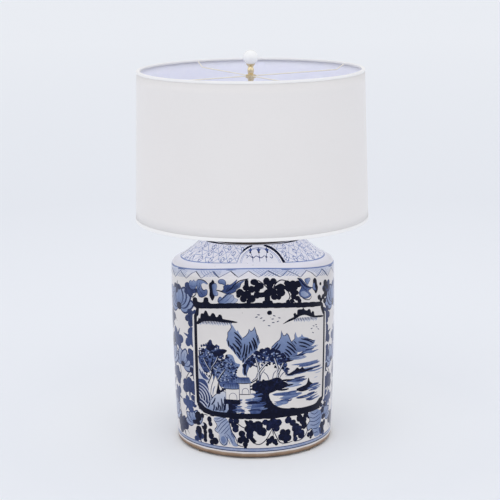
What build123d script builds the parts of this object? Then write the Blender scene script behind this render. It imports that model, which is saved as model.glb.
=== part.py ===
from build123d import *
from math import asin, cos, hypot, pi, radians, sin, sqrt
import os

# A table lamp: a blue-and-white porcelain tea jar drilled as a lamp base, with a
# turned cap, a brass socket, a harp, and a tapered drum shade held by a finial.
# Millimetres, +Z up, origin on the table under the lamp's axis, front towards -Y.

# ---------------------------------------------------------------- clearances
running_gap = 0.07        # radial gap where one round piece turns in another
loose_gap = 0.3           # gap between faces that pass each other
seat_gap = 0.1            # gap under a piece that turns on a flat seat

# ---------------------------------------------------------------- jar
pad_thickness = 1.5
pad_radius = 5.0
pad_count = 4
foot_radius = 154.0
foot_ring_width = 11.0
foot_round = 2.5
foot_recess = 12.0
floor_thickness = 8.0
wall_thickness = 7.0
wall_swell = 2.8          # how far the wall swells over a straight line from foot to edge
edge_height = 359.5       # corner between wall and shoulder, above the foot
edge_radius = 161.0
edge_round = 11.0
shoulder_top_height = 410.0
shoulder_top_radius = 94.5
shoulder_sag = 4.0        # how far the shoulder is hollowed below a straight cone
neck_radius = 86.0
neck_height = 9.5
mouth_radius = 79.0

# ---------------------------------------------------------------- cord inlet
cord_height = 31.0        # above the foot, on the back
cord_hole_radius = 6.5
grommet_bore_radius = 3.4
grommet_flange_radius = 9.5
grommet_flange_thickness = 2.5
grommet_lip_radius = 8.0
grommet_lip_thickness = 1.5
grommet_bevel = 1.5

# ---------------------------------------------------------------- pipe and its fastenings
pipe_radius = 5.0
pipe_bore_radius = 3.3
pipe_tail = 1.3           # below the nut
pipe_setback = 1.0        # pipe's upper end below the rim of the socket's hub
pipe_bevel = 0.5
pipe_slot_width = 6.0     # the cord enters the pipe by this slot, level with the grommet
pipe_slot_height = 18.0
rubber_washer_radius = 26.0
rubber_washer_thickness = 1.5
steel_washer_radius = 28.0
steel_washer_thickness = 1.5
lock_washer_radius = 8.8
lock_washer_thickness = 1.2
lock_washer_split = 1.0
nut_across_flats = 14.3
nut_thickness = 4.5

# ---------------------------------------------------------------- cap, ring and neck
cap_skirt_wall = 6.5
cap_side_height = 9.0     # upright part of the cap's side
cap_skirt_gap = 1.0       # between the cap and the jar's neck, inside and out
cap_crown = 4.0           # how far the cap's top swells over a straight cone
cap_top_radius = 34.0
cap_step_radius = 60.0
cap_step_drop = 3.25      # foot of the step below the cap's top
cap_step_height = 2.25    # of which this much is bevel
cap_thickness = 13.0      # over the jar's rim, at the middle
cap_spigot_depth = 6.0
ring_radius = 19.0
ring_thickness = 3.0
spool_radius = 12.0
spool_waist_radius = 8.5
spool_height = 9.0

# ---------------------------------------------------------------- harp saddle and harp
saddle_thickness = 1.6
saddle_width = 12.0
leg_spacing = 72.0        # between the harp's legs
leg_straight = 34.0       # straight wire above the saddle
lug_height = 12.0
lug_wall = 1.2
lug_slot = 2.2
harp_wire_radius = 1.6
harp_width = 112.0        # between wire centres at the widest
harp_bend_rise = 38.0     # height of the outward bend over the legs
harp_height = 275.7       # saddle to shade seat
harp_flange_radius = 10.0
harp_flange_thickness = 2.3
harp_cone_height = 12.0
harp_cone_radius = 7.0
harp_cone_tip_radius = 3.2
stud_radius = 3.15
stud_length = 15.0
ferrule_height = 14.0
ferrule_wall = 1.2
ferrule_lid = 1.5

# ---------------------------------------------------------------- socket
socket_radius = 18.6
socket_cap_height = 23.0
socket_hub_radius = 8.0
socket_hub_height = 9.0
socket_dome_height = 16.0
socket_wall = 1.0
socket_hub_step = 0.5     # hub's rim inside the cap
socket_hub_neck = 3.6     # straight part of the hub, outside
screw_gap = 0.05          # radial, around every screw's shank
shell_height = 47.0
shell_overlap = 5.8       # how deep the shell sits in the cap
shell_bead = 0.8
shell_bead_height = 1.6   # upright part of the rolled bead
shell_bead_slope = 1.4
shaft_hole_gap = 1.0      # around the switch's shaft, through shell and liner
liner_wall = 0.7
liner_lift = 1.0          # over the shell's lower edge
liner_setback = 3.0       # below the shell's rim
switch_height = 13.0      # of the switch shaft, above the socket body's foot
switch_shaft_radius = 2.2
switch_shaft_depth = 10.0
knob_radius = 5.0
knob_length = 14.0
knob_flutes = 10
knob_flute_radius = 0.9
knob_gap = 1.5            # from the socket to the knob
socket_body_height = 20.0
socket_body_lift = 2.0    # over the shell's lower edge
terminal_flat = 12.6      # half the width across the body's two flats
terminal_head_radius = 3.0
terminal_head_thickness = 2.0
terminal_shank_radius = 1.5
terminal_shank_length = 5.0
terminal_slot = 0.8
terminal_slot_depth = 0.7
set_screw_radius = 1.6
set_screw_stand = 1.8
set_screw_height = 1.9    # over the saddle
set_screw_slot = 0.5
set_screw_slot_depth = 0.8
contact_radius = 4.5
contact_thickness = 2.5
screw_shell_wall = 0.6
screw_shell_lift = 2.0    # first thread over the socket body
screw_shell_setback = 2.0 # last thread below the bulb's last one
contact_gap = 1.0         # between the centre contact and the screw shell's floor

# ---------------------------------------------------------------- bulb
thread_pitch = 3.6
thread_turns = 5
thread_depth = 0.6
bulb_thread_radius = 13.0
bulb_base_wall = 1.0
bulb_skirt = 3.0          # plain part of the base over its threads
bulb_radius = 30.0
bulb_neck_bend = 60.0     # radius of the hollow between neck and globe
bulb_length = 110.0
bulb_glass_wall = 1.0
bulb_tip_height = 2.0
bulb_insulator_height = 3.0
bulb_insulator_plug = 1.5 # upright part inside the base
glass_seat = 2.5          # glass's lower edge over the base's lower edge
stem_radius = 3.2
stem_height = 38.0
stem_lift = 1.0           # over the base's upper edge
stem_flare_height = 1.2
stem_taper_height = 10.0
filament_rise = 18.0
filament_half_width = 12.0
filament_wire_radius = 0.45
filament_bend = 2.0

# ---------------------------------------------------------------- shade
shade_height = 292.0
shade_bottom_radius = 228.1
shade_taper = 8.1         # how much smaller the radius is at the top
fabric_thickness = 0.9
liner_thickness = 0.7
shade_wire_radius = 1.9
trim_thickness = 0.5
trim_depth = 7.0
spider_drop = 13.3        # spider plane below the shade's upper edge
spider_arms_count = 4
spider_first_arm = 30.0   # degrees from +X
spider_wire_radius = 1.25
spider_rise_start = 197.0
spider_bend = 8.0
spider_washer_radius = 11.0
spider_washer_thickness = 2.6
spider_washer_bevel = 0.5
spider_bite = 1.0         # how deep the arms sit in the washer's rim
seam_width = 16.0
seam_thickness = 0.4
seam_gap = 0.3            # glue under the overlap strips
seam_end_gap = 1.0        # between an overlap strip's end and the trim
seam_angle = 84.3         # degrees from +X, at the back

# ---------------------------------------------------------------- finial
finial_flange_radius = 8.8
finial_flange_height = 1.2
finial_waist_radius = 4.84
finial_waist_rise = 2.4   # from the finial's foot to the waist
finial_bulge_radius = 6.3
finial_bulge_rise = 9.9
finial_neck_radius = 4.47
finial_neck_drop = 0.5    # below the cup
finial_cup_foot_radius = 5.33
finial_cup_bevel = 2.0
finial_cup_radius = 8.6
finial_cup_rise = 16.5    # from the finial's foot to the cup's underside
finial_ball_radius = 14.5
finial_ball_rise = 34.2   # from the finial's foot to the ball's centre
finial_spigot_radius = 2.6
finial_spigot_length = 8.0

# ---------------------------------------------------------------- levels worked out from them
foot_z = pad_thickness
cord_z = foot_z + cord_height
floor_under_z = foot_z + foot_recess
floor_top_z = floor_under_z + floor_thickness
edge_z = foot_z + edge_height
ledge_z = foot_z + shoulder_top_height
rim_z = ledge_z + neck_height
cap_top_z = rim_z + cap_thickness
spool_z = cap_top_z + ring_thickness
saddle_z = spool_z + spool_height
socket_z = saddle_z + saddle_thickness
shell_z = socket_z + socket_cap_height - shell_overlap
body_z = shell_z + socket_body_lift
body_top_z = body_z + socket_body_height
switch_z = body_z + switch_height
bulb_z = body_top_z + contact_thickness + loose_gap
seat_z = socket_z + harp_height
washer_z = seat_z + seat_gap
washer_top_z = washer_z + spider_washer_thickness
finial_z = washer_top_z + seat_gap
spider_z = washer_z + spider_washer_thickness / 2
shade_top_z = spider_z + spider_drop
shade_bottom_z = shade_top_z - shade_height
shade_top_radius = shade_bottom_radius - shade_taper


def circle_through(first, second, third):
    """Centre and radius of the circle through three points of a plane."""
    (ax, ay), (bx, by), (cx, cy) = first, second, third
    twist = 2 * (ax * (by - cy) + bx * (cy - ay) + cx * (ay - by))
    first_square, second_square, third_square = ax**2 + ay**2, bx**2 + by**2, cx**2 + cy**2
    centre_x = (first_square * (by - cy) + second_square * (cy - ay) + third_square * (ay - by)) / twist
    centre_y = (first_square * (cx - bx) + second_square * (ax - cx) + third_square * (bx - ax)) / twist
    return centre_x, centre_y, hypot(ax - centre_x, ay - centre_y)


wall_middle = ((foot_radius + edge_radius) / 2 + wall_swell, (foot_z + edge_z) / 2)
wall_curve = circle_through((foot_radius, foot_z), wall_middle, (edge_radius, edge_z))


def wall_radius(z):
    """Outer radius of the jar's wall at a level."""
    centre_r, centre_z, radius = wall_curve
    return centre_r + sqrt(radius**2 - (z - centre_z) ** 2)


def hollow_middle(start, end, sag):
    """Middle point of an arc from start to end that dips by sag towards the axis and down."""
    run, rise = end[0] - start[0], end[1] - start[1]
    length = hypot(run, rise)
    middle_r = (start[0] + end[0]) / 2 - sag * abs(rise) / length
    middle_z = (start[1] + end[1]) / 2 - sag * abs(run) / length
    return middle_r, middle_z


def fabric_radius(z):
    """Outer radius of the shade's fabric at a level."""
    share = (shade_top_z - z) / shade_height
    return shade_top_radius + shade_taper * share


def plane_at_azimuth(angle):
    """Upright plane through the axis: local x points outwards at the angle, local y points up."""
    turn = radians(angle)
    return Plane(origin=(0, 0, 0), x_dir=(cos(turn), sin(turn), 0), z_dir=(sin(turn), -cos(turn), 0))


def threads(radius, z, turns):
    """Points of a V-thread outline, from the level z upwards."""
    points = []
    for turn in range(turns):
        points.append((radius - thread_depth, z + turn * thread_pitch))
        points.append((radius, z + (turn + 0.5) * thread_pitch))
    points.append((radius - thread_depth, z + turns * thread_pitch))
    return points


os.makedirs("parts", exist_ok=True)

# ================================================================ jar
edge_point = (edge_radius, edge_z)
ledge_point = (shoulder_top_radius, ledge_z)
inner_edge_z = edge_z - 0.4 * wall_thickness
inner_edge = (wall_radius(inner_edge_z) - wall_thickness, inner_edge_z)
inner_ledge = (mouth_radius, ledge_z - wall_thickness)

with BuildPart() as jar:
    with BuildSketch(Plane.XZ) as jar_section:
        with BuildLine():
            Polyline(
                (foot_radius - foot_ring_width, floor_under_z),
                (foot_radius - foot_ring_width, foot_z),
                (foot_radius, foot_z),
            )
            ThreePointArc((foot_radius, foot_z), wall_middle, edge_point)
            ThreePointArc(edge_point, hollow_middle(edge_point, ledge_point, shoulder_sag), ledge_point)
            Polyline(
                ledge_point,
                (neck_radius, ledge_z),
                (neck_radius, rim_z),
                (mouth_radius, rim_z),
                inner_ledge,
            )
            ThreePointArc(inner_ledge, hollow_middle(inner_edge, inner_ledge, shoulder_sag), inner_edge)
            ThreePointArc(
                inner_edge,
                (wall_radius(wall_middle[1]) - wall_thickness, wall_middle[1]),
                (wall_radius(floor_top_z) - wall_thickness, floor_top_z),
            )
            Polyline(
                (wall_radius(floor_top_z) - wall_thickness, floor_top_z),
                (pipe_radius + loose_gap, floor_top_z),
                (pipe_radius + loose_gap, floor_under_z),
                (foot_radius - foot_ring_width, floor_under_z),
            )
        make_face()
        corners = jar_section.vertices()
        fillet(corners.sort_by_distance(edge_point)[0], edge_round)
        fillet(corners.sort_by_distance(inner_edge)[0], edge_round - 0.5 * wall_thickness)
        fillet(corners.sort_by_distance((foot_radius, foot_z))[0], foot_round)
        fillet(corners.sort_by_distance((foot_radius - foot_ring_width, foot_z))[0], foot_round)
        fillet(corners.sort_by_distance((foot_radius - foot_ring_width, floor_under_z))[0], foot_round)
    revolve(axis=Axis.Z)
    with BuildSketch(Plane(origin=(0, 0, cord_z), x_dir=(1, 0, 0), z_dir=(0, 1, 0))):
        Circle(cord_hole_radius)
    extrude(amount=foot_radius + edge_radius, mode=Mode.SUBTRACT)
jar.part.label = "jar"
export_step(jar.part, "parts/jar.step")

with BuildPart() as felt_pads:
    with BuildSketch():
        with PolarLocations(foot_radius - foot_ring_width / 2, pad_count, start_angle=45):
            Circle(pad_radius)
    extrude(amount=pad_thickness)
felt_pads.part.label = "felt_pads"
export_step(felt_pads.part, "parts/felt_pads.step")

# A rubber grommet lines the hole that the cord leaves by.
grommet_outer_y = wall_radius(cord_z + grommet_flange_radius)
inner_wall_radius = wall_radius(cord_z - grommet_lip_radius) - wall_thickness
grommet_inner_y = sqrt(inner_wall_radius**2 - grommet_lip_radius**2)
with BuildPart() as cord_grommet:
    with BuildSketch(Plane.XY.offset(cord_z)):
        with BuildLine():
            Polyline(
                (grommet_bore_radius, grommet_inner_y - grommet_lip_thickness),
                (grommet_lip_radius, grommet_inner_y - grommet_lip_thickness),
                (grommet_lip_radius, grommet_inner_y - seat_gap),
                (cord_hole_radius - seat_gap, grommet_inner_y - seat_gap),
                (cord_hole_radius - seat_gap, grommet_outer_y + seat_gap),
                (grommet_flange_radius, grommet_outer_y + seat_gap),
                (grommet_flange_radius, grommet_outer_y + grommet_flange_thickness / 2),
                (grommet_flange_radius - grommet_bevel, grommet_outer_y + grommet_flange_thickness),
                (grommet_bore_radius, grommet_outer_y + grommet_flange_thickness),
                close=True,
            )
        make_face()
    revolve(axis=Axis((0, 0, cord_z), (0, 1, 0)))
cord_grommet.part.label = "cord_grommet"
export_step(cord_grommet.part, "parts/cord_grommet.step")

# ================================================================ pipe and its fastenings
rubber_washer_z = floor_under_z - rubber_washer_thickness
steel_washer_z = rubber_washer_z - steel_washer_thickness
lock_washer_z = steel_washer_z - lock_washer_thickness
nut_z = lock_washer_z - nut_thickness
pipe_low_z = nut_z - pipe_tail
pipe_top_z = socket_z + socket_hub_height - pipe_setback

with BuildPart() as lamp_pipe:
    with BuildSketch(Plane.XY.offset(pipe_low_z)):
        Circle(pipe_radius)
        Circle(pipe_bore_radius, mode=Mode.SUBTRACT)
    extrude(amount=pipe_top_z - pipe_low_z)
    chamfer(lamp_pipe.edges().filter_by(GeomType.CIRCLE).group_by(SortBy.RADIUS)[-1], pipe_bevel)
    with BuildSketch(Plane(origin=(0, 0, cord_z), x_dir=(0, 0, 1), z_dir=(0, 1, 0))):
        SlotOverall(pipe_slot_height, pipe_slot_width)
    extrude(amount=pipe_radius, mode=Mode.SUBTRACT)
lamp_pipe.part.label = "lamp_pipe"
export_step(lamp_pipe.part, "parts/lamp_pipe.step")

with BuildPart() as rubber_washer:
    with BuildSketch(Plane.XY.offset(rubber_washer_z)):
        Circle(rubber_washer_radius)
        Circle(pipe_radius + loose_gap, mode=Mode.SUBTRACT)
    extrude(amount=rubber_washer_thickness)
rubber_washer.part.label = "rubber_washer"
export_step(rubber_washer.part, "parts/rubber_washer.step")

with BuildPart() as steel_washer:
    with BuildSketch(Plane.XY.offset(steel_washer_z)):
        Circle(steel_washer_radius)
        Circle(pipe_radius + loose_gap, mode=Mode.SUBTRACT)
    extrude(amount=steel_washer_thickness)
steel_washer.part.label = "steel_washer"
export_step(steel_washer.part, "parts/steel_washer.step")

with BuildPart() as lock_washer:
    with BuildSketch(Plane.XY.offset(lock_washer_z)):
        Circle(lock_washer_radius)
        Circle(pipe_radius + loose_gap, mode=Mode.SUBTRACT)
        with Locations((lock_washer_radius / 2, 0)):
            Rectangle(lock_washer_radius, lock_washer_split, mode=Mode.SUBTRACT)
    extrude(amount=lock_washer_thickness)
lock_washer.part.label = "lock_washer"
export_step(lock_washer.part, "parts/lock_washer.step")

with BuildPart() as hex_nut:
    with BuildSketch(Plane.XY.offset(nut_z)):
        RegularPolygon(nut_across_flats / 2, 6, major_radius=False)
        Circle(pipe_radius + running_gap, mode=Mode.SUBTRACT)
    extrude(amount=nut_thickness)
hex_nut.part.label = "hex_nut"
export_step(hex_nut.part, "parts/hex_nut.step")

# ================================================================ cap, ring and neck
cap_radius = neck_radius + cap_skirt_gap + cap_skirt_wall
cap_side_z = ledge_z + seat_gap + cap_side_height
cap_step_z = cap_top_z - cap_step_drop
with BuildPart() as neck_cap:
    with BuildSketch(Plane.XZ) as cap_section:
        with BuildLine():
            Polyline(
                (cap_radius, cap_side_z),
                (cap_radius, ledge_z + seat_gap),
                (cap_radius - cap_skirt_wall, ledge_z + seat_gap),
                (cap_radius - cap_skirt_wall, rim_z),
                (mouth_radius - cap_skirt_gap, rim_z),
                (mouth_radius - cap_skirt_gap, rim_z - cap_spigot_depth),
                (mouth_radius - cap_skirt_gap - cap_skirt_wall, rim_z - cap_spigot_depth),
                (mouth_radius - cap_skirt_gap - cap_skirt_wall, rim_z),
                (pipe_radius + loose_gap, rim_z),
                (pipe_radius + loose_gap, cap_top_z),
                (cap_top_radius, cap_top_z),
                (cap_top_radius, cap_top_z - cap_step_height),
                (cap_step_radius, cap_step_z),
            )
            ThreePointArc(
                (cap_step_radius, cap_step_z),
                hollow_middle((cap_radius, cap_side_z), (cap_step_radius, cap_step_z), -cap_crown),
                (cap_radius, cap_side_z),
            )
        make_face()
    revolve(axis=Axis.Z)
neck_cap.part.label = "neck_cap"
export_step(neck_cap.part, "parts/neck_cap.step")

with BuildPart() as check_ring:
    with BuildSketch(Plane.XZ) as ring_section:
        with BuildLine():
            Polyline(
                (pipe_radius + loose_gap, cap_top_z),
                (ring_radius, cap_top_z),
                (ring_radius, cap_top_z + ring_thickness),
                (pipe_radius + loose_gap, cap_top_z + ring_thickness),
                close=True,
            )
        make_face()
        fillet(ring_section.vertices().sort_by_distance((ring_radius, spool_z))[0], ring_thickness * 0.6)
    revolve(axis=Axis.Z)
check_ring.part.label = "check_ring"
export_step(check_ring.part, "parts/check_ring.step")

with BuildPart() as brass_spool:
    with BuildSketch(Plane.XZ):
        with BuildLine():
            Line((pipe_radius + loose_gap, spool_z), (spool_radius, spool_z))
            ThreePointArc(
                (spool_radius, spool_z),
                (spool_waist_radius, spool_z + spool_height / 2),
                (spool_radius, saddle_z),
            )
            Polyline(
                (spool_radius, saddle_z),
                (pipe_radius + loose_gap, saddle_z),
                (pipe_radius + loose_gap, spool_z),
            )
        make_face()
    revolve(axis=Axis.Z)
brass_spool.part.label = "brass_spool"
export_step(brass_spool.part, "parts/brass_spool.step")

# ================================================================ harp saddle
leg_y = leg_spacing / 2
lug_bore_radius = harp_wire_radius + loose_gap
lug_radius = lug_bore_radius + lug_wall
with BuildPart() as harp_saddle:
    with BuildSketch(Plane.XY.offset(saddle_z)):
        SlotCenterToCenter(leg_spacing, saddle_width, rotation=90)
        Circle(spool_radius)
        Circle(pipe_radius + loose_gap, mode=Mode.SUBTRACT)
    extrude(amount=saddle_thickness)
    with BuildSketch(Plane.XY.offset(socket_z)):
        with Locations((0, leg_y), (0, -leg_y)):
            Circle(lug_radius)
        with Locations((0, leg_y), (0, -leg_y)):
            Circle(lug_bore_radius, mode=Mode.SUBTRACT)
        with Locations((0, leg_y + lug_radius / 2), (0, -leg_y - lug_radius / 2)):
            Rectangle(lug_slot, lug_radius, mode=Mode.SUBTRACT)
    extrude(amount=lug_height)
harp_saddle.part.label = "harp_saddle"
export_step(harp_saddle.part, "parts/harp_saddle.step")

# ================================================================ harp
leg_low_z = socket_z + loose_gap
leg_top_z = socket_z + leg_straight
half_bow = harp_width / 2
bend_top_z = leg_top_z + harp_bend_rise
bow_top_z = seat_z - harp_flange_thickness - harp_cone_height + harp_wire_radius
bow_spring_z = bow_top_z - half_bow

with BuildPart() as harp_wire:
    with BuildLine(Plane.YZ) as harp_path:
        for side in (1, -1):
            Line((side * leg_y, leg_low_z), (side * leg_y, leg_top_z))
            first_bend = TangentArc(
                (side * leg_y, leg_top_z),
                (side * (leg_y + half_bow) / 2, (leg_top_z + bend_top_z) / 2),
                tangent=(0, 1),
            )
            TangentArc(first_bend @ 1, (side * half_bow, bend_top_z), tangent=first_bend % 1)
            Line((side * half_bow, bend_top_z), (side * half_bow, bow_spring_z))
        ThreePointArc((half_bow, bow_spring_z), (0, bow_top_z), (-half_bow, bow_spring_z))
    with BuildSketch(Plane(origin=(0, leg_y, leg_low_z), z_dir=(0, 0, 1))):
        Circle(harp_wire_radius)
    sweep(path=harp_path.wires()[0])
harp_wire.part.label = "harp_wire"
export_step(harp_wire.part, "parts/harp_wire.step")

cone_low_z = seat_z - harp_flange_thickness - harp_cone_height
with BuildPart() as harp_top:
    with BuildSketch(Plane.XZ):
        with BuildLine():
            Polyline(
                (0, cone_low_z),
                (harp_cone_tip_radius, cone_low_z),
                (harp_cone_radius, cone_low_z + harp_cone_height),
                (harp_flange_radius, cone_low_z + harp_cone_height),
                (harp_flange_radius, seat_z),
                (stud_radius, seat_z),
                (stud_radius, seat_z + stud_length),
                (0, seat_z + stud_length),
                close=True,
            )
        make_face()
    revolve(axis=Axis.Z)
    add(harp_wire.part, mode=Mode.SUBTRACT)
harp_top.part.label = "harp_top"
export_step(harp_top.part, "parts/harp_top.step")

# The two sleeves that slide down over the lugs and lock the harp's legs.
ferrule_bore_radius = lug_radius + loose_gap
ferrule_radius = ferrule_bore_radius + ferrule_wall
ferrule_low_z = socket_z + loose_gap
with BuildPart() as ferrule_back:
    with BuildSketch(Plane.XY.offset(ferrule_low_z)):
        with Locations((0, leg_y)):
            Circle(ferrule_radius)
    extrude(amount=ferrule_height)
    with BuildSketch(Plane.XY.offset(ferrule_low_z)):
        with Locations((0, leg_y)):
            Circle(ferrule_bore_radius)
    extrude(amount=ferrule_height - ferrule_lid, mode=Mode.SUBTRACT)
    with BuildSketch(Plane.XY.offset(ferrule_low_z)):
        with Locations((0, leg_y)):
            Circle(harp_wire_radius + running_gap)
    extrude(amount=ferrule_height, mode=Mode.SUBTRACT)
ferrule_back.part.label = "ferrule_back"
export_step(ferrule_back.part, "parts/ferrule_back.step")

with BuildPart() as ferrule_front:
    mirror(ferrule_back.part, about=Plane.XZ)
ferrule_front.part.label = "ferrule_front"
export_step(ferrule_front.part, "parts/ferrule_front.step")

# ================================================================ socket
hub_bore_radius = pipe_radius + seat_gap
dome_z = socket_z + socket_dome_height
with BuildPart() as socket_cap:
    with BuildSketch(Plane.XZ):
        with BuildLine():
            Polyline(
                (socket_hub_radius + socket_hub_step, socket_z + socket_hub_height),
                (hub_bore_radius, socket_z + socket_hub_height),
                (hub_bore_radius, socket_z),
                (socket_hub_radius, socket_z),
                (socket_hub_radius, socket_z + socket_hub_neck),
            )
            ThreePointArc(
                (socket_hub_radius, socket_z + socket_hub_neck),
                (0.78 * socket_radius, socket_z + 0.53 * socket_dome_height),
                (socket_radius, dome_z),
            )
            Polyline(
                (socket_radius, dome_z),
                (socket_radius, socket_z + socket_cap_height),
                (socket_radius - socket_wall, socket_z + socket_cap_height),
                (socket_radius - socket_wall, dome_z + socket_wall * 0.4),
            )
            ThreePointArc(
                (socket_radius - socket_wall, dome_z + socket_wall * 0.4),
                (0.74 * socket_radius, socket_z + 0.65 * socket_dome_height),
                (socket_hub_radius + socket_hub_step, socket_z + socket_hub_height),
            )
        make_face()
    revolve(axis=Axis.Z)
    with BuildSketch(Plane(origin=(0, 0, socket_z + set_screw_height), x_dir=(0, 1, 0), z_dir=(-1, 0, 0))):
        Circle(set_screw_radius + screw_gap)
    extrude(amount=socket_hub_radius, mode=Mode.SUBTRACT)
socket_cap.part.label = "socket_cap"
export_step(socket_cap.part, "parts/socket_cap.step")

set_screw_z = socket_z + set_screw_height
with BuildPart() as set_screw:
    with BuildSketch(Plane(origin=(-hub_bore_radius, 0, set_screw_z), x_dir=(0, 1, 0), z_dir=(-1, 0, 0))):
        Circle(set_screw_radius)
    extrude(amount=socket_hub_radius - hub_bore_radius + set_screw_stand)
    with BuildSketch(
        Plane(
            origin=(-socket_hub_radius - set_screw_stand, 0, set_screw_z),
            x_dir=(0, 1, 0),
            z_dir=(1, 0, 0),
        )
    ):
        Rectangle(2 * set_screw_radius, set_screw_slot)
    extrude(amount=set_screw_slot_depth, mode=Mode.SUBTRACT)
set_screw.part.label = "set_screw"
export_step(set_screw.part, "parts/set_screw.step")

shell_radius = socket_radius - socket_wall - seat_gap
shell_top_z = shell_z + shell_height
with BuildPart() as socket_shell:
    with BuildSketch(Plane.XZ):
        with BuildLine():
            Polyline(
                (shell_radius, shell_z),
                (shell_radius, shell_top_z - shell_bead_height - shell_bead_slope),
                (shell_radius + shell_bead, shell_top_z - shell_bead_height),
                (shell_radius + shell_bead, shell_top_z),
                (shell_radius - socket_wall + shell_bead, shell_top_z),
                (shell_radius - socket_wall, shell_top_z - shell_bead_height - shell_bead_slope / 7),
                (shell_radius - socket_wall, shell_z),
                close=True,
            )
        make_face()
    revolve(axis=Axis.Z)
    with BuildSketch(Plane(origin=(0, 0, switch_z), x_dir=(0, 1, 0), z_dir=(1, 0, 0))):
        Circle(switch_shaft_radius + shaft_hole_gap)
    extrude(amount=2 * shell_radius, mode=Mode.SUBTRACT)
socket_shell.part.label = "socket_shell"
export_step(socket_shell.part, "parts/socket_shell.step")

liner_radius = shell_radius - socket_wall - seat_gap
liner_top_z = shell_top_z - liner_setback
with BuildPart() as socket_liner:
    with BuildSketch(Plane.XY.offset(shell_z + liner_lift)):
        Circle(liner_radius)
        Circle(liner_radius - liner_wall, mode=Mode.SUBTRACT)
    extrude(amount=liner_top_z - shell_z - liner_lift)
    with BuildSketch(Plane(origin=(0, 0, switch_z), x_dir=(0, 1, 0), z_dir=(1, 0, 0))):
        Circle(switch_shaft_radius + shaft_hole_gap)
    extrude(amount=2 * shell_radius, mode=Mode.SUBTRACT)
socket_liner.part.label = "socket_liner"
export_step(socket_liner.part, "parts/socket_liner.step")

body_radius = liner_radius - liner_wall - seat_gap
with BuildPart() as socket_body:
    with BuildSketch(Plane.XY.offset(body_z)):
        Circle(body_radius)
        Rectangle(2 * body_radius, 2 * terminal_flat, mode=Mode.INTERSECT)
    extrude(amount=socket_body_height)
    with BuildSketch(
        Plane(
            origin=(body_radius - switch_shaft_depth, 0, switch_z),
            x_dir=(0, 1, 0),
            z_dir=(1, 0, 0),
        )
    ):
        Circle(switch_shaft_radius + running_gap)
    extrude(amount=2 * switch_shaft_depth, mode=Mode.SUBTRACT)
    for side in (1, -1):
        with BuildSketch(
            Plane(
                origin=(0, side * terminal_flat, switch_z),
                x_dir=(1, 0, 0),
                z_dir=(0, -side, 0),
            )
        ):
            Circle(terminal_shank_radius + screw_gap)
        extrude(amount=terminal_shank_length + loose_gap, mode=Mode.SUBTRACT)
socket_body.part.label = "socket_body"
export_step(socket_body.part, "parts/socket_body.step")

with BuildPart() as terminal_screws:
    for side in (1, -1):
        with BuildSketch(
            Plane(origin=(0, side * terminal_flat, switch_z), x_dir=(1, 0, 0), z_dir=(0, -side, 0))
        ):
            Circle(terminal_shank_radius)
        extrude(amount=terminal_shank_length)
        with BuildSketch(
            Plane(origin=(0, side * terminal_flat, switch_z), x_dir=(1, 0, 0), z_dir=(0, side, 0))
        ):
            Circle(terminal_head_radius)
        extrude(amount=terminal_head_thickness)
        with BuildSketch(
            Plane(
                origin=(0, side * (terminal_flat + terminal_head_thickness), switch_z),
                x_dir=(1, 0, 0),
                z_dir=(0, -side, 0),
            )
        ):
            Rectangle(2 * terminal_head_radius, terminal_slot)
        extrude(amount=terminal_slot_depth, mode=Mode.SUBTRACT)
terminal_screws.part.label = "terminal_screws"
export_step(terminal_screws.part, "parts/terminal_screws.step")

screw_shell_radius = bulb_thread_radius + loose_gap + thread_depth
screw_shell_outside = screw_shell_radius + screw_shell_wall
bulb_thread_z = bulb_z + bulb_tip_height + bulb_insulator_height
screw_shell_top_z = bulb_thread_z + thread_turns * thread_pitch - screw_shell_setback
screw_shell_start_z = body_top_z + screw_shell_lift
screw_shell_turns = int((screw_shell_top_z - screw_shell_start_z) / thread_pitch)
with BuildPart() as screw_shell:
    with BuildSketch(Plane.XZ):
        with BuildLine():
            Polyline(
                *threads(screw_shell_radius, screw_shell_start_z, screw_shell_turns),
                (
                    screw_shell_outside - thread_depth,
                    screw_shell_start_z + screw_shell_turns * thread_pitch,
                ),
                *reversed(threads(screw_shell_outside, screw_shell_start_z, screw_shell_turns)[:-1]),
                (screw_shell_outside - thread_depth, body_top_z),
                (contact_radius + contact_gap, body_top_z),
                (contact_radius + contact_gap, body_top_z + screw_shell_wall),
                (screw_shell_radius - thread_depth, body_top_z + screw_shell_wall),
                close=True,
            )
        make_face()
    revolve(axis=Axis.Z)
screw_shell.part.label = "screw_shell"
export_step(screw_shell.part, "parts/screw_shell.step")

with BuildPart() as centre_contact:
    with BuildSketch(Plane.XY.offset(body_top_z)):
        Circle(contact_radius)
    extrude(amount=contact_thickness)
    fillet(centre_contact.faces().sort_by(Axis.Z)[-1].edges(), contact_thickness * 0.4)
centre_contact.part.label = "centre_contact"
export_step(centre_contact.part, "parts/centre_contact.step")

# ================================================================ switch
knob_x = socket_radius + knob_gap
with BuildPart() as switch_shaft:
    with BuildSketch(
        Plane(
            origin=(body_radius - switch_shaft_depth + loose_gap, 0, switch_z),
            x_dir=(0, 1, 0),
            z_dir=(1, 0, 0),
        )
    ):
        Circle(switch_shaft_radius)
    extrude(amount=knob_x + knob_length / 2 - body_radius + switch_shaft_depth - loose_gap)
switch_shaft.part.label = "switch_shaft"
export_step(switch_shaft.part, "parts/switch_shaft.step")

with BuildPart() as switch_knob:
    with BuildSketch(Plane(origin=(knob_x, 0, switch_z), x_dir=(0, 1, 0), z_dir=(1, 0, 0))):
        Circle(knob_radius)
        with PolarLocations(knob_radius, knob_flutes):
            Circle(knob_flute_radius, mode=Mode.SUBTRACT)
    extrude(amount=knob_length)
    with BuildSketch(Plane(origin=(knob_x, 0, switch_z), x_dir=(0, 1, 0), z_dir=(1, 0, 0))):
        Circle(switch_shaft_radius)
    extrude(amount=knob_length / 2, mode=Mode.SUBTRACT)
switch_knob.part.label = "switch_knob"
export_step(switch_knob.part, "parts/switch_knob.step")

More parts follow.
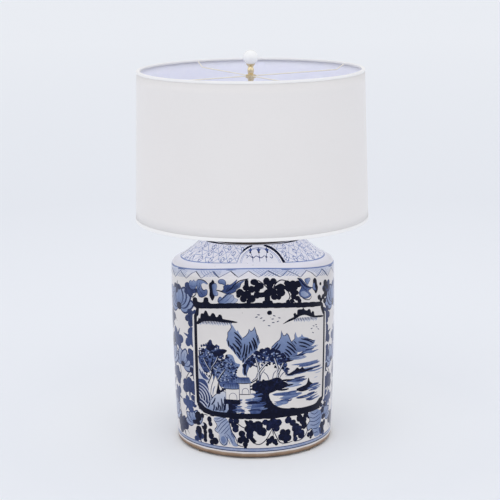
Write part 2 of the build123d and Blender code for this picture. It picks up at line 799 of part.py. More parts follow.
# ================================================================ bulb
insulator_z = bulb_z + bulb_tip_height
base_z = insulator_z + bulb_insulator_height
base_top_z = base_z + thread_turns * thread_pitch + bulb_skirt
base_bore_radius = bulb_thread_radius - thread_depth - bulb_base_wall
with BuildPart() as bulb_tip:
    with BuildSketch(Plane.XY.offset(bulb_z)):
        Circle(contact_radius)
    extrude(amount=bulb_tip_height)
    fillet(bulb_tip.faces().sort_by(Axis.Z)[0].edges(), bulb_tip_height * 0.6)
bulb_tip.part.label = "bulb_tip"
export_step(bulb_tip.part, "parts/bulb_tip.step")

with BuildPart() as bulb_insulator:
    with BuildSketch(Plane.XZ):
        with BuildLine():
            Polyline(
                (0, insulator_z),
                (contact_radius + loose_gap, insulator_z),
                (base_bore_radius, base_z),
                (base_bore_radius, base_z + bulb_insulator_plug),
                (0, base_z + bulb_insulator_plug),
                close=True,
            )
        make_face()
    revolve(axis=Axis.Z)
bulb_insulator.part.label = "bulb_insulator"
export_step(bulb_insulator.part, "parts/bulb_insulator.step")

with BuildPart() as bulb_base:
    with BuildSketch(Plane.XZ):
        with BuildLine():
            Polyline(
                *threads(bulb_thread_radius, base_z, thread_turns),
                (bulb_thread_radius - thread_depth, base_top_z),
                (base_bore_radius, base_top_z),
                (base_bore_radius, base_z),
                close=True,
            )
        make_face()
    revolve(axis=Axis.Z)
bulb_base.part.label = "bulb_base"
export_step(bulb_base.part, "parts/bulb_base.step")

glass_neck_radius = base_bore_radius - seat_gap
glass_low_z = base_z + glass_seat
globe_z = bulb_z + bulb_length - bulb_radius


def glass_points(inset):
    """Neck top, two tangent arcs' points and crown of the bulb's glass, inset into its wall."""
    neck = glass_neck_radius - inset
    globe = bulb_radius - inset
    bend = bulb_neck_bend + inset
    run = neck + bend
    drop = sqrt((globe + bend) ** 2 - run**2)
    touch = (globe * run / (globe + bend), globe_z - globe * drop / (globe + bend))
    middle_angle = pi - asin(drop / (globe + bend)) / 2
    middle = (run + bend * cos(middle_angle), globe_z - drop + bend * sin(middle_angle))
    return (neck, globe_z - drop), middle, touch, (globe, globe_z), (0, globe_z + globe)


with BuildPart() as bulb_glass:
    outer_glass = glass_points(0)
    inner_glass = glass_points(bulb_glass_wall)
    with BuildSketch(Plane.XZ):
        with BuildLine():
            Line((glass_neck_radius, glass_low_z), outer_glass[0])
            ThreePointArc(outer_glass[0], outer_glass[1], outer_glass[2])
            ThreePointArc(outer_glass[2], outer_glass[3], outer_glass[4])
            Line(outer_glass[4], inner_glass[4])
            ThreePointArc(inner_glass[4], inner_glass[3], inner_glass[2])
            ThreePointArc(inner_glass[2], inner_glass[1], inner_glass[0])
            Polyline(
                inner_glass[0],
                (glass_neck_radius - bulb_glass_wall, glass_low_z),
                (glass_neck_radius, glass_low_z),
            )
        make_face()
    revolve(axis=Axis.Z)
bulb_glass.part.label = "bulb_glass"
export_step(bulb_glass.part, "parts/bulb_glass.step")

# A glass stem inside the bulb carries the filament.
stem_low_z = base_top_z + stem_lift
stem_top_z = stem_low_z + stem_height
stem_flare_radius = glass_neck_radius - bulb_glass_wall - seat_gap
with BuildPart() as bulb_stem:
    with BuildSketch(Plane.XZ):
        with BuildLine():
            Polyline(
                (0, stem_low_z),
                (stem_flare_radius, stem_low_z),
                (stem_flare_radius, stem_low_z + stem_flare_height),
                (stem_radius, stem_low_z + stem_taper_height),
                (stem_radius, stem_top_z - stem_radius),
            )
            ThreePointArc(
                (stem_radius, stem_top_z - stem_radius),
                (stem_radius * sin(radians(45)), stem_top_z - stem_radius * (1 - sin(radians(45)))),
                (0, stem_top_z),
            )
            Line((0, stem_top_z), (0, stem_low_z))
        make_face()
    revolve(axis=Axis.Z)
bulb_stem.part.label = "bulb_stem"
export_step(bulb_stem.part, "parts/bulb_stem.step")

with BuildPart() as bulb_filament:
    with BuildLine(Plane.XZ) as filament_path:
        FilletPolyline(
            (-stem_radius / 2, stem_top_z - stem_radius),
            (-filament_half_width, stem_top_z + filament_rise),
            (filament_half_width, stem_top_z + filament_rise),
            (stem_radius / 2, stem_top_z - stem_radius),
            radius=filament_bend,
        )
    with BuildSketch(Plane(origin=filament_path.line @ 0, z_dir=filament_path.line % 0)):
        Circle(filament_wire_radius)
    sweep()
    add(bulb_stem.part, mode=Mode.SUBTRACT)
bulb_filament.part.label = "bulb_filament"
export_step(bulb_filament.part, "parts/bulb_filament.step")

# ================================================================ shade
liner_top = fabric_radius(shade_top_z) - fabric_thickness
liner_bottom = fabric_radius(shade_bottom_z) - fabric_thickness
with BuildPart() as shade_fabric:
    with BuildSketch(Plane.XZ):
        with BuildLine():
            Polyline(
                (shade_bottom_radius, shade_bottom_z),
                (shade_top_radius, shade_top_z),
                (liner_top, shade_top_z),
                (liner_bottom, shade_bottom_z),
                close=True,
            )
        make_face()
    revolve(axis=Axis.Z)
shade_fabric.part.label = "shade_fabric"
export_step(shade_fabric.part, "parts/shade_fabric.step")

with BuildPart() as shade_liner:
    with BuildSketch(Plane.XZ):
        with BuildLine():
            Polyline(
                (liner_bottom, shade_bottom_z),
                (liner_top, shade_top_z),
                (liner_top - liner_thickness, shade_top_z),
                (liner_bottom - liner_thickness, shade_bottom_z),
                close=True,
            )
        make_face()
    revolve(axis=Axis.Z)
shade_liner.part.label = "shade_liner"
export_step(shade_liner.part, "parts/shade_liner.step")

wire_top_z = shade_top_z - shade_wire_radius - trim_thickness
wire_bottom_z = shade_bottom_z + shade_wire_radius + trim_thickness


def ring_radius_at(z):
    """Radius of a shade ring's wire centre: the wire lies against the liner."""
    return fabric_radius(z) - fabric_thickness - liner_thickness - shade_wire_radius - seat_gap


with BuildPart() as top_ring:
    with BuildSketch(Plane.XZ):
        with Locations((ring_radius_at(wire_top_z), wire_top_z)):
            Circle(shade_wire_radius)
    revolve(axis=Axis.Z)
top_ring.part.label = "top_ring"
export_step(top_ring.part, "parts/top_ring.step")

with BuildPart() as bottom_ring:
    with BuildSketch(Plane.XZ):
        with Locations((ring_radius_at(wire_bottom_z), wire_bottom_z)):
            Circle(shade_wire_radius)
    revolve(axis=Axis.Z)
bottom_ring.part.label = "bottom_ring"
export_step(bottom_ring.part, "parts/bottom_ring.step")


def trim_outline(edge_z, wire_z, inward):
    """Section of the folded tape over one edge of the shade; inward is -1 at the top, 1 below."""
    deep_z = edge_z + inward * trim_depth
    over_z = edge_z - inward * trim_thickness
    inner = ring_radius_at(wire_z) - shade_wire_radius - seat_gap
    return [
        (fabric_radius(deep_z) + trim_thickness, deep_z),
        (fabric_radius(edge_z) + trim_thickness, over_z),
        (inner - trim_thickness, over_z),
        (inner - trim_thickness, deep_z),
        (inner, deep_z),
        (inner, edge_z),
        (fabric_radius(edge_z), edge_z),
        (fabric_radius(deep_z), deep_z),
    ]


slot_inner = ring_radius_at(wire_top_z) - 3 * shade_wire_radius
with BuildPart() as top_trim:
    with BuildSketch(Plane.XZ):
        with BuildLine():
            Polyline(*trim_outline(shade_top_z, wire_top_z, -1), close=True)
        make_face()
    revolve(axis=Axis.Z)
    with BuildSketch(Plane.XY.offset(shade_top_z - trim_depth)):
        with PolarLocations(slot_inner, spider_arms_count, start_angle=spider_first_arm):
            Rectangle(4 * shade_wire_radius, 4 * spider_wire_radius)
    extrude(amount=trim_depth - 2 * trim_thickness, mode=Mode.SUBTRACT)
top_trim.part.label = "top_trim"
export_step(top_trim.part, "parts/top_trim.step")

with BuildPart() as bottom_trim:
    with BuildSketch(Plane.XZ):
        with BuildLine():
            Polyline(*trim_outline(shade_bottom_z, wire_bottom_z, 1), close=True)
        make_face()
    revolve(axis=Axis.Z)
bottom_trim.part.label = "bottom_trim"
export_step(bottom_trim.part, "parts/bottom_trim.step")


def seam_outline(outer, low_z, high_z, thickness):
    """Section of an overlap strip that follows the shade's slope; outer gives its outer radius."""
    return [
        (outer(low_z), low_z),
        (outer(high_z), high_z),
        (outer(high_z) - thickness, high_z),
        (outer(low_z) - thickness, low_z),
    ]


seam_low_z = shade_bottom_z + trim_depth + seam_end_gap
seam_high_z = shade_top_z - trim_depth - seam_end_gap
seam_arc = seam_width / shade_top_radius * 180 / pi


def liner_seam_outside(z):
    """Outer radius of the overlap inside the shade, just clear of the liner."""
    return fabric_radius(z) - fabric_thickness - liner_thickness - seam_gap


def fabric_seam_outside(z):
    """Outer radius of the overlap outside the shade, just clear of the fabric."""
    return fabric_radius(z) + seam_gap + seam_thickness


with BuildPart() as liner_seam:
    with BuildSketch(plane_at_azimuth(seam_angle - seam_arc / 2)):
        with BuildLine():
            Polyline(*seam_outline(liner_seam_outside, seam_low_z, seam_high_z, seam_thickness), close=True)
        make_face()
    revolve(axis=Axis.Z, revolution_arc=seam_arc)
liner_seam.part.label = "liner_seam"
export_step(liner_seam.part, "parts/liner_seam.step")

with BuildPart() as fabric_seam:
    with BuildSketch(plane_at_azimuth(seam_angle - seam_arc / 2)):
        with BuildLine():
            Polyline(*seam_outline(fabric_seam_outside, seam_low_z, seam_high_z, seam_thickness), close=True)
        make_face()
    revolve(axis=Axis.Z, revolution_arc=seam_arc)
fabric_seam.part.label = "fabric_seam"
export_step(fabric_seam.part, "parts/fabric_seam.step")

with BuildPart() as spider_washer:
    with BuildSketch(Plane.XY.offset(washer_z)):
        Circle(spider_washer_radius)
        Circle(stud_radius + running_gap, mode=Mode.SUBTRACT)
    extrude(amount=spider_washer_thickness)
    washer_rims = spider_washer.edges().filter_by(GeomType.CIRCLE).group_by(SortBy.RADIUS)[-1]
    chamfer(washer_rims, spider_washer_bevel)
spider_washer.part.label = "spider_washer"
export_step(spider_washer.part, "parts/spider_washer.step")

with BuildPart() as spider_arms:
    for arm in range(spider_arms_count):
        arm_plane = plane_at_azimuth(spider_first_arm + arm * 360 / spider_arms_count)
        with BuildLine(arm_plane) as arm_path:
            FilletPolyline(
                (spider_washer_radius - spider_bite, spider_z),
                (spider_rise_start, spider_z),
                (ring_radius_at(wire_top_z), wire_top_z),
                radius=spider_bend,
            )
        with BuildSketch(Plane(origin=arm_path.line @ 0, z_dir=arm_path.line % 0)):
            Circle(spider_wire_radius)
        sweep(path=arm_path.wires()[0])
    add(spider_washer.part, mode=Mode.SUBTRACT)
    add(top_ring.part, mode=Mode.SUBTRACT)
spider_arms.part.label = "spider_arms"
export_step(spider_arms.part, "parts/spider_arms.step")

# ================================================================ finial
ball_z = finial_z + finial_ball_rise
cup_z = finial_z + finial_cup_rise
cup_rim_z = ball_z - sqrt(finial_ball_radius**2 - finial_cup_radius**2)
spigot_top_z = ball_z - finial_ball_radius + finial_spigot_length
with BuildPart() as finial_base:
    with BuildSketch(Plane.XZ):
        with BuildLine():
            Polyline(
                (stud_radius + running_gap, finial_z),
                (finial_flange_radius, finial_z),
                (finial_flange_radius, finial_z + finial_flange_height),
                (finial_waist_radius, finial_z + finial_waist_rise),
            )
            ThreePointArc(
                (finial_waist_radius, finial_z + finial_waist_rise),
                (finial_bulge_radius, finial_z + finial_bulge_rise),
                (finial_neck_radius, cup_z - finial_neck_drop),
            )
            Polyline(
                (finial_neck_radius, cup_z - finial_neck_drop),
                (finial_cup_foot_radius, cup_z),
                (finial_cup_radius - loose_gap, cup_rim_z - finial_cup_bevel),
                (finial_cup_radius, cup_rim_z),
                (finial_spigot_radius, cup_rim_z),
                (finial_spigot_radius, spigot_top_z),
                (0, spigot_top_z),
                (0, finial_z + stud_length),
                (stud_radius + running_gap, finial_z + stud_length),
                (stud_radius + running_gap, finial_z),
            )
        make_face()
    revolve(axis=Axis.Z)
    with Locations((0, 0, ball_z)):
        Sphere(finial_ball_radius, mode=Mode.SUBTRACT)
    with BuildSketch(Plane.XY.offset(cup_z)):
        Circle(finial_spigot_radius)
    extrude(amount=spigot_top_z - cup_z)
finial_base.part.label = "finial_base"
export_step(finial_base.part, "parts/finial_base.step")

with BuildPart() as finial_ball:
    with Locations((0, 0, ball_z)):
        Sphere(finial_ball_radius)
    with BuildSketch(Plane.XY.offset(ball_z - 2 * finial_ball_radius)):
        Circle(finial_spigot_radius + screw_gap)
    extrude(amount=spigot_top_z + loose_gap - ball_z + 2 * finial_ball_radius, mode=Mode.SUBTRACT)
finial_ball.part.label = "finial_ball"
export_step(finial_ball.part, "parts/finial_ball.step")
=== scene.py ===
import math
import random

import bmesh
import bpy
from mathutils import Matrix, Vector
from mathutils.bvhtree import BVHTree
from mathutils.geometry import delaunay_2d_cdt


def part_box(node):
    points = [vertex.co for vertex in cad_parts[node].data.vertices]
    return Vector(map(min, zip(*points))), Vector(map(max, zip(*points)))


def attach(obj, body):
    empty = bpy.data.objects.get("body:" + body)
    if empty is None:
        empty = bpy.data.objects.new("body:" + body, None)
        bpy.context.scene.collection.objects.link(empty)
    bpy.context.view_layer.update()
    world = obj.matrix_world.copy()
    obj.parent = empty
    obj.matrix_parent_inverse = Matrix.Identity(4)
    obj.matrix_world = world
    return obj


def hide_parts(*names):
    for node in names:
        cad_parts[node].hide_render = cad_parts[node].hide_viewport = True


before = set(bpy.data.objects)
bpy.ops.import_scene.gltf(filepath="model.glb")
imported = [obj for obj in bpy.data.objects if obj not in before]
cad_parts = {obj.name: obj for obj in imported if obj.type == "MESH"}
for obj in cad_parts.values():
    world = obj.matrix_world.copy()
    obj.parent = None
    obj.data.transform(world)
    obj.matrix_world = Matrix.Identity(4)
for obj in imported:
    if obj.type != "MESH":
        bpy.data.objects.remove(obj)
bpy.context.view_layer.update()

# A table lamp on a painted porcelain tea jar. Lengths are in millimetres in the
# formulas and become metres where a mesh is made. The front faces -Y.
MM = 0.001
TAU = 2 * math.pi

# ---------------------------------------------------------------- camera
# The photograph shows a long lens, a little above the shade, looking slightly down.
camera_place = (0.0020, -3.001, 1.051)
camera_pitch = 12.6            # degrees below the horizon
camera_roll = 0.6              # degrees, as the photograph leans a little
camera_lens = 111.9            # on a 36 mm sensor

# ---------------------------------------------------------------- sizes from the frame
jar_low, jar_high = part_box("jar")
shade_low, shade_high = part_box("shade_fabric")
foot_z = jar_low.z / MM
rim_z = jar_high.z / MM
shade_bottom_z = shade_low.z / MM
shade_top_z = shade_high.z / MM

# ---------------------------------------------------------------- shade
shade_bottom_radius = shade_high.x / MM
shade_taper = 8.1
shade_top_radius = shade_bottom_radius - shade_taper
fabric_thickness = 0.9
liner_thickness = 0.7
trim_thickness = 0.5
shade_segments = 288


# ================================================================ mesh helpers
def new_object(name, mesh):
    """A new object in the scene that holds a mesh."""
    piece = bpy.data.objects.new(name, mesh)
    bpy.context.scene.collection.objects.link(piece)
    return piece


def lathe(name, outline):
    """A closed outline of (radius, height) points in mm, turned round the lamp's axis."""
    count = len(outline)
    points = []
    for step in range(shade_segments):
        turn = TAU * step / shade_segments
        for radius, height in outline:
            points.append((radius * MM * math.cos(turn), radius * MM * math.sin(turn), height * MM))
    faces = []
    for step in range(shade_segments):
        here, after = step * count, (step + 1) % shade_segments * count
        for spot in range(count):
            beside = (spot + 1) % count
            faces.append((here + spot, after + spot, after + beside, here + beside))
    mesh = bpy.data.meshes.new(name)
    mesh.from_pydata(points, [], faces)
    along = [0.0]
    for spot in range(count):
        run = math.dist(outline[spot], outline[(spot + 1) % count])
        along.append(along[-1] + run * MM)
    widest = max(radius for radius, height in outline) * MM
    layer = mesh.uv_layers.new(name="Unrolled")
    corner = 0
    for step in range(shade_segments):
        for spot in range(count):
            for ahead, down in ((0, 0), (1, 0), (1, 1), (0, 1)):
                around = TAU * (step + ahead) / shade_segments * widest
                layer.data[corner].uv = (around, along[spot + down])
                corner += 1
    mesh.polygons.foreach_set("use_smooth", [True] * len(mesh.polygons))
    mesh.update()
    return new_object(name, mesh)


# ================================================================ material helpers
def add_node(tree, kind, inputs=None, **settings):
    """A node of that kind; inputs are numbers, colours or other nodes' outputs."""
    made = tree.nodes.new("ShaderNode" + kind)
    for setting, value in settings.items():
        setattr(made, setting, value)
    for socket, value in (inputs or {}).items():
        if isinstance(value, bpy.types.NodeSocket):
            tree.links.new(value, made.inputs[socket])
        else:
            made.inputs[socket].default_value = value
    return made


class Finish:
    """A material built from nodes, around one Principled shader."""

    def __init__(self, name, **sockets):
        self.material = bpy.data.materials.new(name)
        self.material.use_nodes = True
        self.tree = self.material.node_tree
        self.shader = self.tree.nodes["Principled BSDF"]
        for socket, value in sockets.items():
            self.shader.inputs[socket.replace("_", " ")].default_value = value

    def node(self, kind, inputs=None, **settings):
        """A node in this material."""
        return add_node(self.tree, kind, inputs, **settings)

    def drive(self, socket, output):
        """Feeds one of the shader's sockets."""
        self.tree.links.new(output, self.shader.inputs[socket])

    def place(self, scale=(1, 1, 1)):
        """Object coordinates in metres, scaled."""
        spot = self.node("TexCoord")
        return self.node("Mapping", {"Vector": spot.outputs["Object"], "Scale": scale}).outputs[0]

    def split(self):
        """Object coordinates in metres, as separate X, Y and Z outputs."""
        spot = self.node("TexCoord")
        return self.node("SeparateXYZ", {0: spot.outputs["Object"]}).outputs

    def noise(self, scale, detail, roughness=0.5, vector=None):
        """Noise from 0 to 1."""
        inputs = {"Scale": scale, "Detail": detail, "Roughness": roughness}
        inputs["Vector"] = vector or self.place()
        return self.node("TexNoise", inputs).outputs["Fac"]

    def ramp(self, value, stops):
        """A colour ramp; stops are (place, colour) pairs."""
        made = self.node("ValToRGB", {"Fac": value})
        ramp = made.color_ramp
        while len(ramp.elements) < len(stops):
            ramp.elements.new(0.5)
        for element, (spot, colour) in zip(ramp.elements, stops):
            element.position = spot
            element.color = (*colour, 1.0)
        return made.outputs["Color"]

    def reach(self, value, low, high):
        """Moves a 0 to 1 value into a range."""
        return self.node("MapRange", {"Value": value, "To Min": low, "To Max": high}).outputs[0]

    def blend(self, factor, first, second, how="MIX"):
        """Mixes two colours; the second may be plain numbers."""
        if isinstance(second, tuple):
            second = (*second, 1.0)
        inputs = {0: factor, 6: first, 7: second}
        return self.node("Mix", inputs, data_type="RGBA", blend_type=how).outputs[2]

    def sum(self, first, second, operation="ADD", clamp=False):
        """Arithmetic on two values."""
        return self.node("Math", {0: first, 1: second}, operation=operation,
                         use_clamp=clamp).outputs[0]

    def bump(self, height, strength, distance):
        """Feeds a bump to the shader's normal."""
        inputs = {"Height": height, "Strength": strength, "Distance": distance}
        self.drive("Normal", self.node("Bump", inputs).outputs["Normal"])


def dress(nodes, material):
    """Gives CAD nodes or pieces a material in every slot."""
    for entry in nodes:
        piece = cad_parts[entry] if isinstance(entry, str) else entry
        piece.data.materials.clear()
        piece.data.materials.append(material)


# ================================================================ materials
def fabric_finish(name, colour):
    """Fine off-white cloth on a stiff backing, woven at under a millimetre."""
    cloth = Finish(
        name, Roughness=0.92, Sheen_Weight=0.55, Sheen_Roughness=0.4, Specular_IOR_Level=0.2
    )
    unrolled = cloth.node("UVMap", uv_map="Unrolled").outputs["UV"]
    weft = cloth.node("Mapping", {"Vector": unrolled, "Scale": (60.0, 900.0, 1.0)}).outputs[0]
    warp = cloth.node("Mapping", {"Vector": unrolled, "Scale": (900.0, 60.0, 1.0)}).outputs[0]
    weft_slubs = cloth.noise(1.0, 2.0, vector=weft)
    warp_slubs = cloth.noise(1.0, 2.0, vector=warp)
    threads = cloth.sum(weft_slubs, warp_slubs)
    cloud = cloth.noise(5.0, 2.0)
    shade = cloth.sum(cloth.reach(threads, 0.0, 0.5), cloth.reach(cloud, 0.0, 0.35))
    pale = tuple(min(1.0, part * 1.02) for part in colour)
    deep = tuple(part * 0.955 for part in colour)
    cloth.drive("Base Color", cloth.ramp(shade, [(0.2, deep), (0.8, pale)]))
    cloth.bump(threads, 0.25, 0.0003)
    return cloth.material


def metal_finish(name, light, dark, roughness):
    """Polished or plated metal with faint cloudy tarnish and turning marks."""
    metal = Finish(name, Metallic=1.0)
    cloud = metal.noise(90.0, 4.0)
    metal.drive("Base Color", metal.ramp(cloud, [(0.3, dark), (0.65, light)]))
    rings = metal.noise(1.0, 2.0, vector=metal.place((30.0, 30.0, 2500.0)))
    scratches = metal.reach(rings, -0.08, 0.08)
    tarnish = metal.reach(cloud, roughness + 0.05, roughness - 0.02)
    metal.drive("Roughness", metal.sum(scratches, tarnish))
    metal.bump(rings, 0.12, 0.0002)
    return metal.material


def plain_finish(name, light, dark, roughness, grain=300.0, depth=0.0002, **sockets):
    """Moulded, cast or pressed stuff with a fine mottled grain."""
    made = Finish(name, **sockets)
    mottle = made.noise(grain, 4.0)
    made.drive("Base Color", made.ramp(mottle, [(0.3, dark), (0.7, light)]))
    made.drive("Roughness", made.reach(mottle, roughness - 0.06, roughness + 0.06))
    made.bump(mottle, 0.2, depth)
    return made.material


# ================================================================ shade
def fabric_radius(height):
    """Outer radius of the shade's cloth at a level."""
    return shade_top_radius + shade_taper * (shade_top_z - height) / (shade_top_z - shade_bottom_z)


def shade_shell(name, outside, inside):
    """A thin conical shell between two offsets from the cloth's outer face."""
    rows = 12
    tall = shade_top_z - shade_bottom_z
    levels = [shade_bottom_z + tall * row / rows for row in range(rows + 1)]
    outline = [(fabric_radius(level) - outside, level) for level in levels]
    outline += [(fabric_radius(level) - inside, level) for level in reversed(levels)]
    return lathe(name, outline)


def trim_ring(name, edge, inward, trim_depth):
    """A folded tape over one edge of the shade and its wire; inward is 1 for up, -1 for down."""
    fold = 1.1
    wire_reach = 6.4
    deep = edge + inward * trim_depth
    outer_deep = fabric_radius(deep) + trim_thickness
    outer_edge = fabric_radius(edge) + trim_thickness
    inner = fabric_radius(edge) - wire_reach
    over = edge - inward * trim_thickness
    outline = [
        (outer_deep - trim_thickness, deep),
        (outer_deep - 0.1, deep),
        (outer_deep, deep - inward * 0.25),
        (outer_edge, edge + inward * fold),
    ]
    turns = [math.radians(90 * step / 6) for step in range(1, 6)]
    for turn in turns:
        gone, lift = fold * (1 - math.cos(turn)), fold * (1 - math.sin(turn))
        outline.append((outer_edge - gone, over + inward * lift))
    outline += [(outer_edge - fold, over), (inner + fold, over)]
    for turn in turns:
        gone, lift = fold * (1 - math.sin(turn)), fold * (1 - math.cos(turn))
        outline.append((inner + gone, over + inward * lift))
    outline += [
        (inner, deep),
        (inner + trim_thickness, deep),
        (inner + trim_thickness, edge + inward * 0.6),
        (fabric_radius(edge), edge + inward * 0.05),
    ]
    if inward > 0:
        outline.reverse()
    return lathe(name, outline)


backing = fabric_thickness + liner_thickness
fabric = shade_shell("shade_fabric_cloth", 0.0, fabric_thickness)
liner = shade_shell("shade_liner_sheet", fabric_thickness, backing)
top_trim = trim_ring("top_trim_tape", shade_top_z, -1, 4.2)
bottom_trim = trim_ring("bottom_trim_tape", shade_bottom_z, 1, 6.5)

cloth_material = fabric_finish("shade_fabric", (0.795, 0.775, 0.77))
trim_material = fabric_finish("shade_trim", (0.88, 0.875, 0.875))
liner_material = plain_finish("shade_liner", (0.86, 0.87, 0.97), (0.83, 0.84, 0.95), 0.55, 40.0)
# Painted light: the liner and its seam glow faintly, which lightens the inside of the shade; they
# are no lamp.
liner_painted_glow = liner_material.node_tree.nodes["Principled BSDF"]
liner_painted_glow.inputs["Emission Color"].default_value = (0.88, 0.90, 1.0, 1.0)
liner_painted_glow.inputs["Emission Strength"].default_value = 0.05
for piece, cad_node, slot, material in (
    (fabric, "shade_fabric", "shade_fabric", cloth_material),
    (liner, "shade_liner", "shade_liner", liner_material),
    (top_trim, "top_trim", "shade_trim", trim_material),
    (bottom_trim, "bottom_trim", "shade_trim", trim_material),
):
    dress([piece], material)
    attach(piece, "shade")
    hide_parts(cad_node)

# ================================================================ jar outline
foot_radius = 154.0
edge_radius = 161.0
edge_z = 361.0
edge_round = 11.0
shoulder_sag = 4.0
shoulder_top_radius = 94.5
ledge_z = 411.5
neck_radius = 86.0
mouth_radius = 79.0
wall_thickness = 7.0
wall_swell = 2.8
foot_ring_width = 11.0
foot_round = 2.5
floor_under_z = 13.5
floor_top_z = 21.5
pipe_hole_radius = 5.2
cord_z = 32.5
cord_hole_radius = 6.5
jar_segments = 200
bore_segments = 24
inner_edge_z = edge_z - 0.4 * wall_thickness
inner_top_z = inner_edge_z - 8.0


def circle_through(first, second, third):
    """Centre and radius of the circle through three points of a plane."""
    (ax, ay), (bx, by), (cx, cy) = first, second, third
    twist = 2 * (ax * (by - cy) + bx * (cy - ay) + cx * (ay - by))
    squares = (ax**2 + ay**2, bx**2 + by**2, cx**2 + cy**2)
    centre_x = (squares[0] * (by - cy) + squares[1] * (cy - ay) + squares[2] * (ay - by)) / twist
    centre_y = (squares[0] * (cx - bx) + squares[1] * (ax - cx) + squares[2] * (bx - ax)) / twist
    return centre_x, centre_y, math.hypot(ax - centre_x, ay - centre_y)


def hollow_middle(start, end):
    """Middle point of the shoulder's arc, which dips towards the axis and down."""
    run, rise = end[0] - start[0], end[1] - start[1]
    length = math.hypot(run, rise)
    middle_r = (start[0] + end[0]) / 2 - shoulder_sag * abs(rise) / length
    middle_z = (start[1] + end[1]) / 2 - shoulder_sag * abs(run) / length
    return middle_r, middle_z


def circles_meet(first, second):
    """The two meeting points of two (r, z, radius) circles."""
    gap = math.dist(first[:2], second[:2])
    along = (gap**2 + first[2] ** 2 - second[2] ** 2) / (2 * gap)
    aside = math.sqrt(first[2] ** 2 - along**2)
    run, rise = (second[0] - first[0]) / gap, (second[1] - first[1]) / gap
    base_r, base_z = first[0] + run * along, first[1] + rise * along
    return [(base_r + side * rise * aside, base_z - side * run * aside) for side in (1, -1)]


wall_middle = ((foot_radius + edge_radius) / 2 + wall_swell, (foot_z + edge_z) / 2)
wall_curve = circle_through((foot_radius, foot_z), wall_middle, (edge_radius, edge_z))
edge_point = (edge_radius, edge_z)
ledge_point = (shoulder_top_radius, ledge_z)
shoulder_middle = hollow_middle(edge_point, ledge_point)
shoulder_curve = circle_through(edge_point, shoulder_middle, ledge_point)
inside_wall = (wall_curve[0], wall_curve[1], wall_curve[2] - edge_round)
outside_shoulder = (shoulder_curve[0], shoulder_curve[1], shoulder_curve[2] + edge_round)
edge_centre = min(
    circles_meet(inside_wall, outside_shoulder),
    key=lambda spot: math.dist(spot, edge_point),
)
edge_start = edge_centre[1] + edge_round * (edge_centre[1] - wall_curve[1]) / inside_wall[2]
edge_end = edge_centre[1] + edge_round * (shoulder_curve[1] - edge_centre[1]) / outside_shoulder[2]


def wall_radius(level):
    """Outer radius of the jar's wall."""
    return wall_curve[0] + math.sqrt(wall_curve[2] ** 2 - (level - wall_curve[1]) ** 2)


def inner_radius(level):
    """Inner radius of the jar's wall."""
    return wall_radius(level) - wall_thickness


def jar_radius(level):
    """Outer radius of the jar from the foot to the ledge."""
    if level <= edge_start:
        return wall_radius(level)
    if level <= edge_end:
        return edge_centre[0] + math.sqrt(max(0.0, edge_round**2 - (level - edge_centre[1]) ** 2))
    return shoulder_curve[0] - math.sqrt(shoulder_curve[2] ** 2 - (level - shoulder_curve[1]) ** 2)


# ================================================================ painting
# The jar's outside unrolled: s runs round it and t up it, in millimetres. s is 0 at the
# front and grows to the right; t is the level on the wall and the slant on the shoulder.
turn_length = 160.0
full_turn = TAU * turn_length
seam_s = -240.0
slant = 1.6535
paint_low = 5.0
paint_high = edge_z + slant * (ledge_z - edge_z)
chance = random.Random(7)
shapes = []
pen = {"shift": 0.0, "side": 1}


def level_at(t):
    """Level on the jar of a height in the drawing."""
    return t if t <= edge_z else edge_z + (t - edge_z) / slant


def between(table, value):
    """Reads a table of (place, amount) pairs, with straight lines between them."""
    for (low, first), (high, second) in zip(table, table[1:]):
        if value <= high:
            return first + (second - first) * max(0.0, value - low) / (high - low)
    return table[-1][1]


def settle(s, t):
    """Fits the drawing to the jar: its left half is narrower, and lines lie lower at the sides."""
    if -full_turn / 4 < s < 0:
        s = between(((-full_turn / 4, -full_turn / 4), (-133, -121), (0, 0)), s)
    t = between(((0, 0), (284, 284), (307, 309), (366, 363), (paint_high, paint_high)), t)
    drops = ((0, 0), (60, 0), (310, 23), (361, 26), (390, 25), (402, 16), (paint_high, 0))
    return s, t - between(drops, t) * (1 - math.cos(2 * s / turn_length)) / 2


def paint(outline, tone, slope=0.0, towards=90.0):
    """Fills a shape with a tone, from 0 for bare glaze to 1 for the darkest cobalt.

    The tone rises by slope across the shape, towards an angle in degrees.
    """
    longest_step, least_area = 18, 0.25
    moved = []
    for (s, t), (after_s, after_t) in zip(outline, outline[1:] + outline[:1]):
        parts = 1 + int(abs(after_s - s) / longest_step)
        for part in range(parts):
            share = part / parts
            spot = (s + (after_s - s) * share, t + (after_t - t) * share)
            moved.append(settle(pen["shift"] + pen["side"] * spot[0], spot[1]))
    moved = [(s, min(max(t, paint_low + 1.0), paint_high - 0.6)) for s, t in moved]
    doubled_area = 0.0
    for (s, t), (after_s, after_t) in zip(moved, moved[1:] + moved[:1]):
        doubled_area += s * after_t - after_s * t
    if doubled_area < 0:
        moved.reverse()
    if abs(doubled_area) < 2 * least_area:
        return
    turn = math.radians(towards)
    direction = (pen["side"] * math.cos(turn), math.sin(turn))
    runs = [s * direction[0] + t * direction[1] for s, t in moved]
    low, high = min(runs), max(runs)
    for shift in (-full_turn, 0.0, full_turn):
        copy = [(s + shift, t) for s, t in moved]
        if max(s for s, t in copy) < seam_s or min(s for s, t in copy) > seam_s + full_turn:
            continue
        across = (low + shift * direction[0], high + shift * direction[0])
        shapes.append((copy, tone, slope, direction, across))


